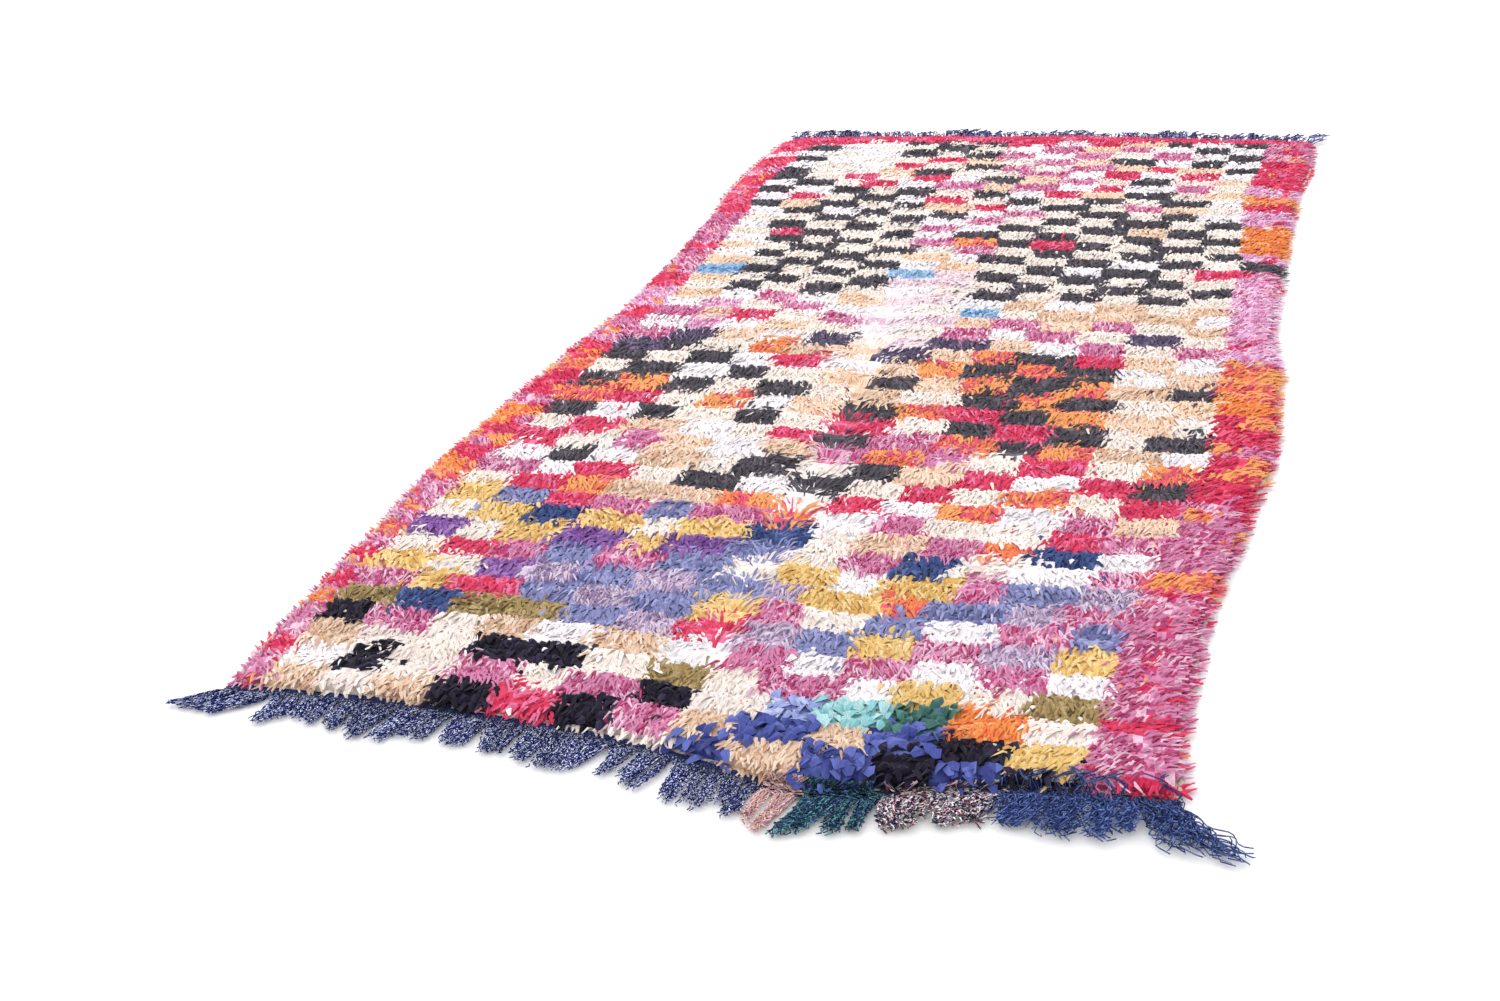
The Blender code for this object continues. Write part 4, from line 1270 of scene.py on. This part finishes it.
# The far yarns hang in loose sheaves about 45 mm apart, with hardly a parting between them
FAR_PARTINGS = [(-0.70 + 0.045 * k + 0.012 * (k * k % 3), 0.004) for k in range(32)]
FAR_CORNER = dict(x=0.64, half_width=0.05, across=0.030)
FAR_CLUMP_PITCH = 0.072
FAR_YARN = dict(
    partings=FAR_PARTINGS, yarns=12, rings=9, radius=0.0015, curl=0.0070, waves=75.0, loose=0.012,
    height=0.0240, root=-0.03, back=-0.10, shade=1.0, fleck=240.0,
    stops=[(0.0, (80, 86, 150)), (0.48, (134, 132, 186)), (0.57, (196, 194, 218)),
           (0.63, (90, 100, 164))])


def far_path(x, reach, share):
    """The middle of a far strand on the floor, a share of the way to its tip."""
    swing = FAR_CORNER["across"] * swell(x, FAR_CORNER["x"], FAR_CORNER["half_width"])
    clump = -0.0050 * np.sin(2 * math.pi * x / FAR_CLUMP_PITCH)
    across = x + swing * share + clump * share
    return across, far_edge(x) + GAP + FAR_HEADER_WIDTH + reach * share


def far_reach(x):
    """How far the yarns at each place reach: long in the tufts and worn short between them."""
    reach = np.full(len(x), BARE_REACH)
    for tuft in FAR_TUFTS:
        inside = np.maximum(0.0, 1.0 - ((x - tuft["x"]) / tuft["half_width"]) ** 2)
        reach = np.maximum(reach, tuft["reach"] * inside ** 0.5)
    return reach * (0.82 + 0.36 * chance(np.round(x * 2000), 4.0))


far_middles = lock_middles(FAR_START, FAR_END, FAR_LOCKS)
far_mesh = spin_yarns("far_yarn", far_path, far_middles, far_reach(far_middles), FAR_YARN)
far_finish = yarn_finish("curly_navy_yarn", FAR_YARN["stops"], FAR_YARN["fleck"])
add_piece("fringe_far_yarn", far_mesh, far_finish, ["fringe_far"])


def far_header_line(share):
    x = FAR_START + (FAR_END - FAR_START) * share
    return x, float(far_edge(x)) + GAP + FAR_HEADER_WIDTH / 2, HEADER_HEIGHT / 2


far_header_mesh = wrapped_tube("far_header", HEADER_STEPS, 8, far_header_line,
                               FAR_HEADER_WIDTH / 2, HEADER_HEIGHT / 2)
add_piece("far_header", far_header_mesh, header_finish, ["fringe_far"])


# The floor, the light and the camera.
# The rug lies on a plain white floor in broad daylight from all round, a little stronger from the
# far left, and is seen from chest height off its near right corner.

FLOOR_HALF_SIZE = 20.0
FLOOR_DROP = 0.0004
FLOOR_WHITE = (0.93, 0.93, 0.93, 1)

bm = bmesh.new()
bmesh.ops.create_grid(bm, x_segments=1, y_segments=1, size=FLOOR_HALF_SIZE)
bmesh.ops.translate(bm, verts=bm.verts[:], vec=(0, 0, -FLOOR_DROP))
floor_mesh = bpy.data.meshes.new("floor")
bm.to_mesh(floor_mesh)
bm.free()
floor = bpy.data.objects.new("floor", floor_mesh)
bpy.context.scene.collection.objects.link(floor)
floor_finish = Finish("white_floor", 0.8, 0.0)
floor_finish.shader.inputs["Base Color"].default_value = FLOOR_WHITE
floor_mesh.materials.append(floor_finish.material)

DAYLIGHT = 1.20
WINDOW_SIZE = 3.0
WINDOW_POWER = 75.0
WINDOW_PLACE = (-2.2, 2.2, 3.2)

world = bpy.data.worlds.new("daylight")
bpy.context.scene.world = world
world.use_nodes = True
sky = next(n for n in world.node_tree.nodes if n.type == "BACKGROUND")
sky.inputs["Color"].default_value = (1.0, 1.0, 1.0, 1)
sky.inputs["Strength"].default_value = DAYLIGHT

key_light = bpy.data.lights.new("window", "AREA")
key_light.shape = "RECTANGLE"
key_light.size = WINDOW_SIZE
key_light.size_y = WINDOW_SIZE
key_light.energy = WINDOW_POWER
key_object = bpy.data.objects.new("window", key_light)
bpy.context.scene.collection.objects.link(key_object)
key_object.location = WINDOW_PLACE
key_object.rotation_euler = (-Vector(WINDOW_PLACE)).to_track_quat("-Z", "Y").to_euler()

CAMERA_PLACE = (0.8092, -3.0815, 1.2972)
CAMERA_PITCH = 26.754
CAMERA_YAW = 20.879
CAMERA_ROLL = -5.388
FOCAL_PIXELS = 1816.46
PHOTO_WIDTH = 1500
SENSOR_WIDTH = 36.0
camera = bpy.data.cameras.new("camera")
camera.sensor_fit = "HORIZONTAL"
camera.sensor_width = SENSOR_WIDTH
camera.lens = SENSOR_WIDTH * FOCAL_PIXELS / PHOTO_WIDTH
camera.clip_end = 60.0
camera_object = bpy.data.objects.new("camera", camera)
bpy.context.scene.collection.objects.link(camera_object)
camera_object.matrix_world = (
    Matrix.Translation(CAMERA_PLACE)
    @ Matrix.Rotation(math.radians(CAMERA_YAW), 4, "Z")
    @ Matrix.Rotation(math.radians(90 - CAMERA_PITCH), 4, "X")
    @ Matrix.Rotation(math.radians(CAMERA_ROLL), 4, "Z"))
bpy.context.scene.camera = camera_object
bpy.context.scene.view_settings.view_transform = "Standard"
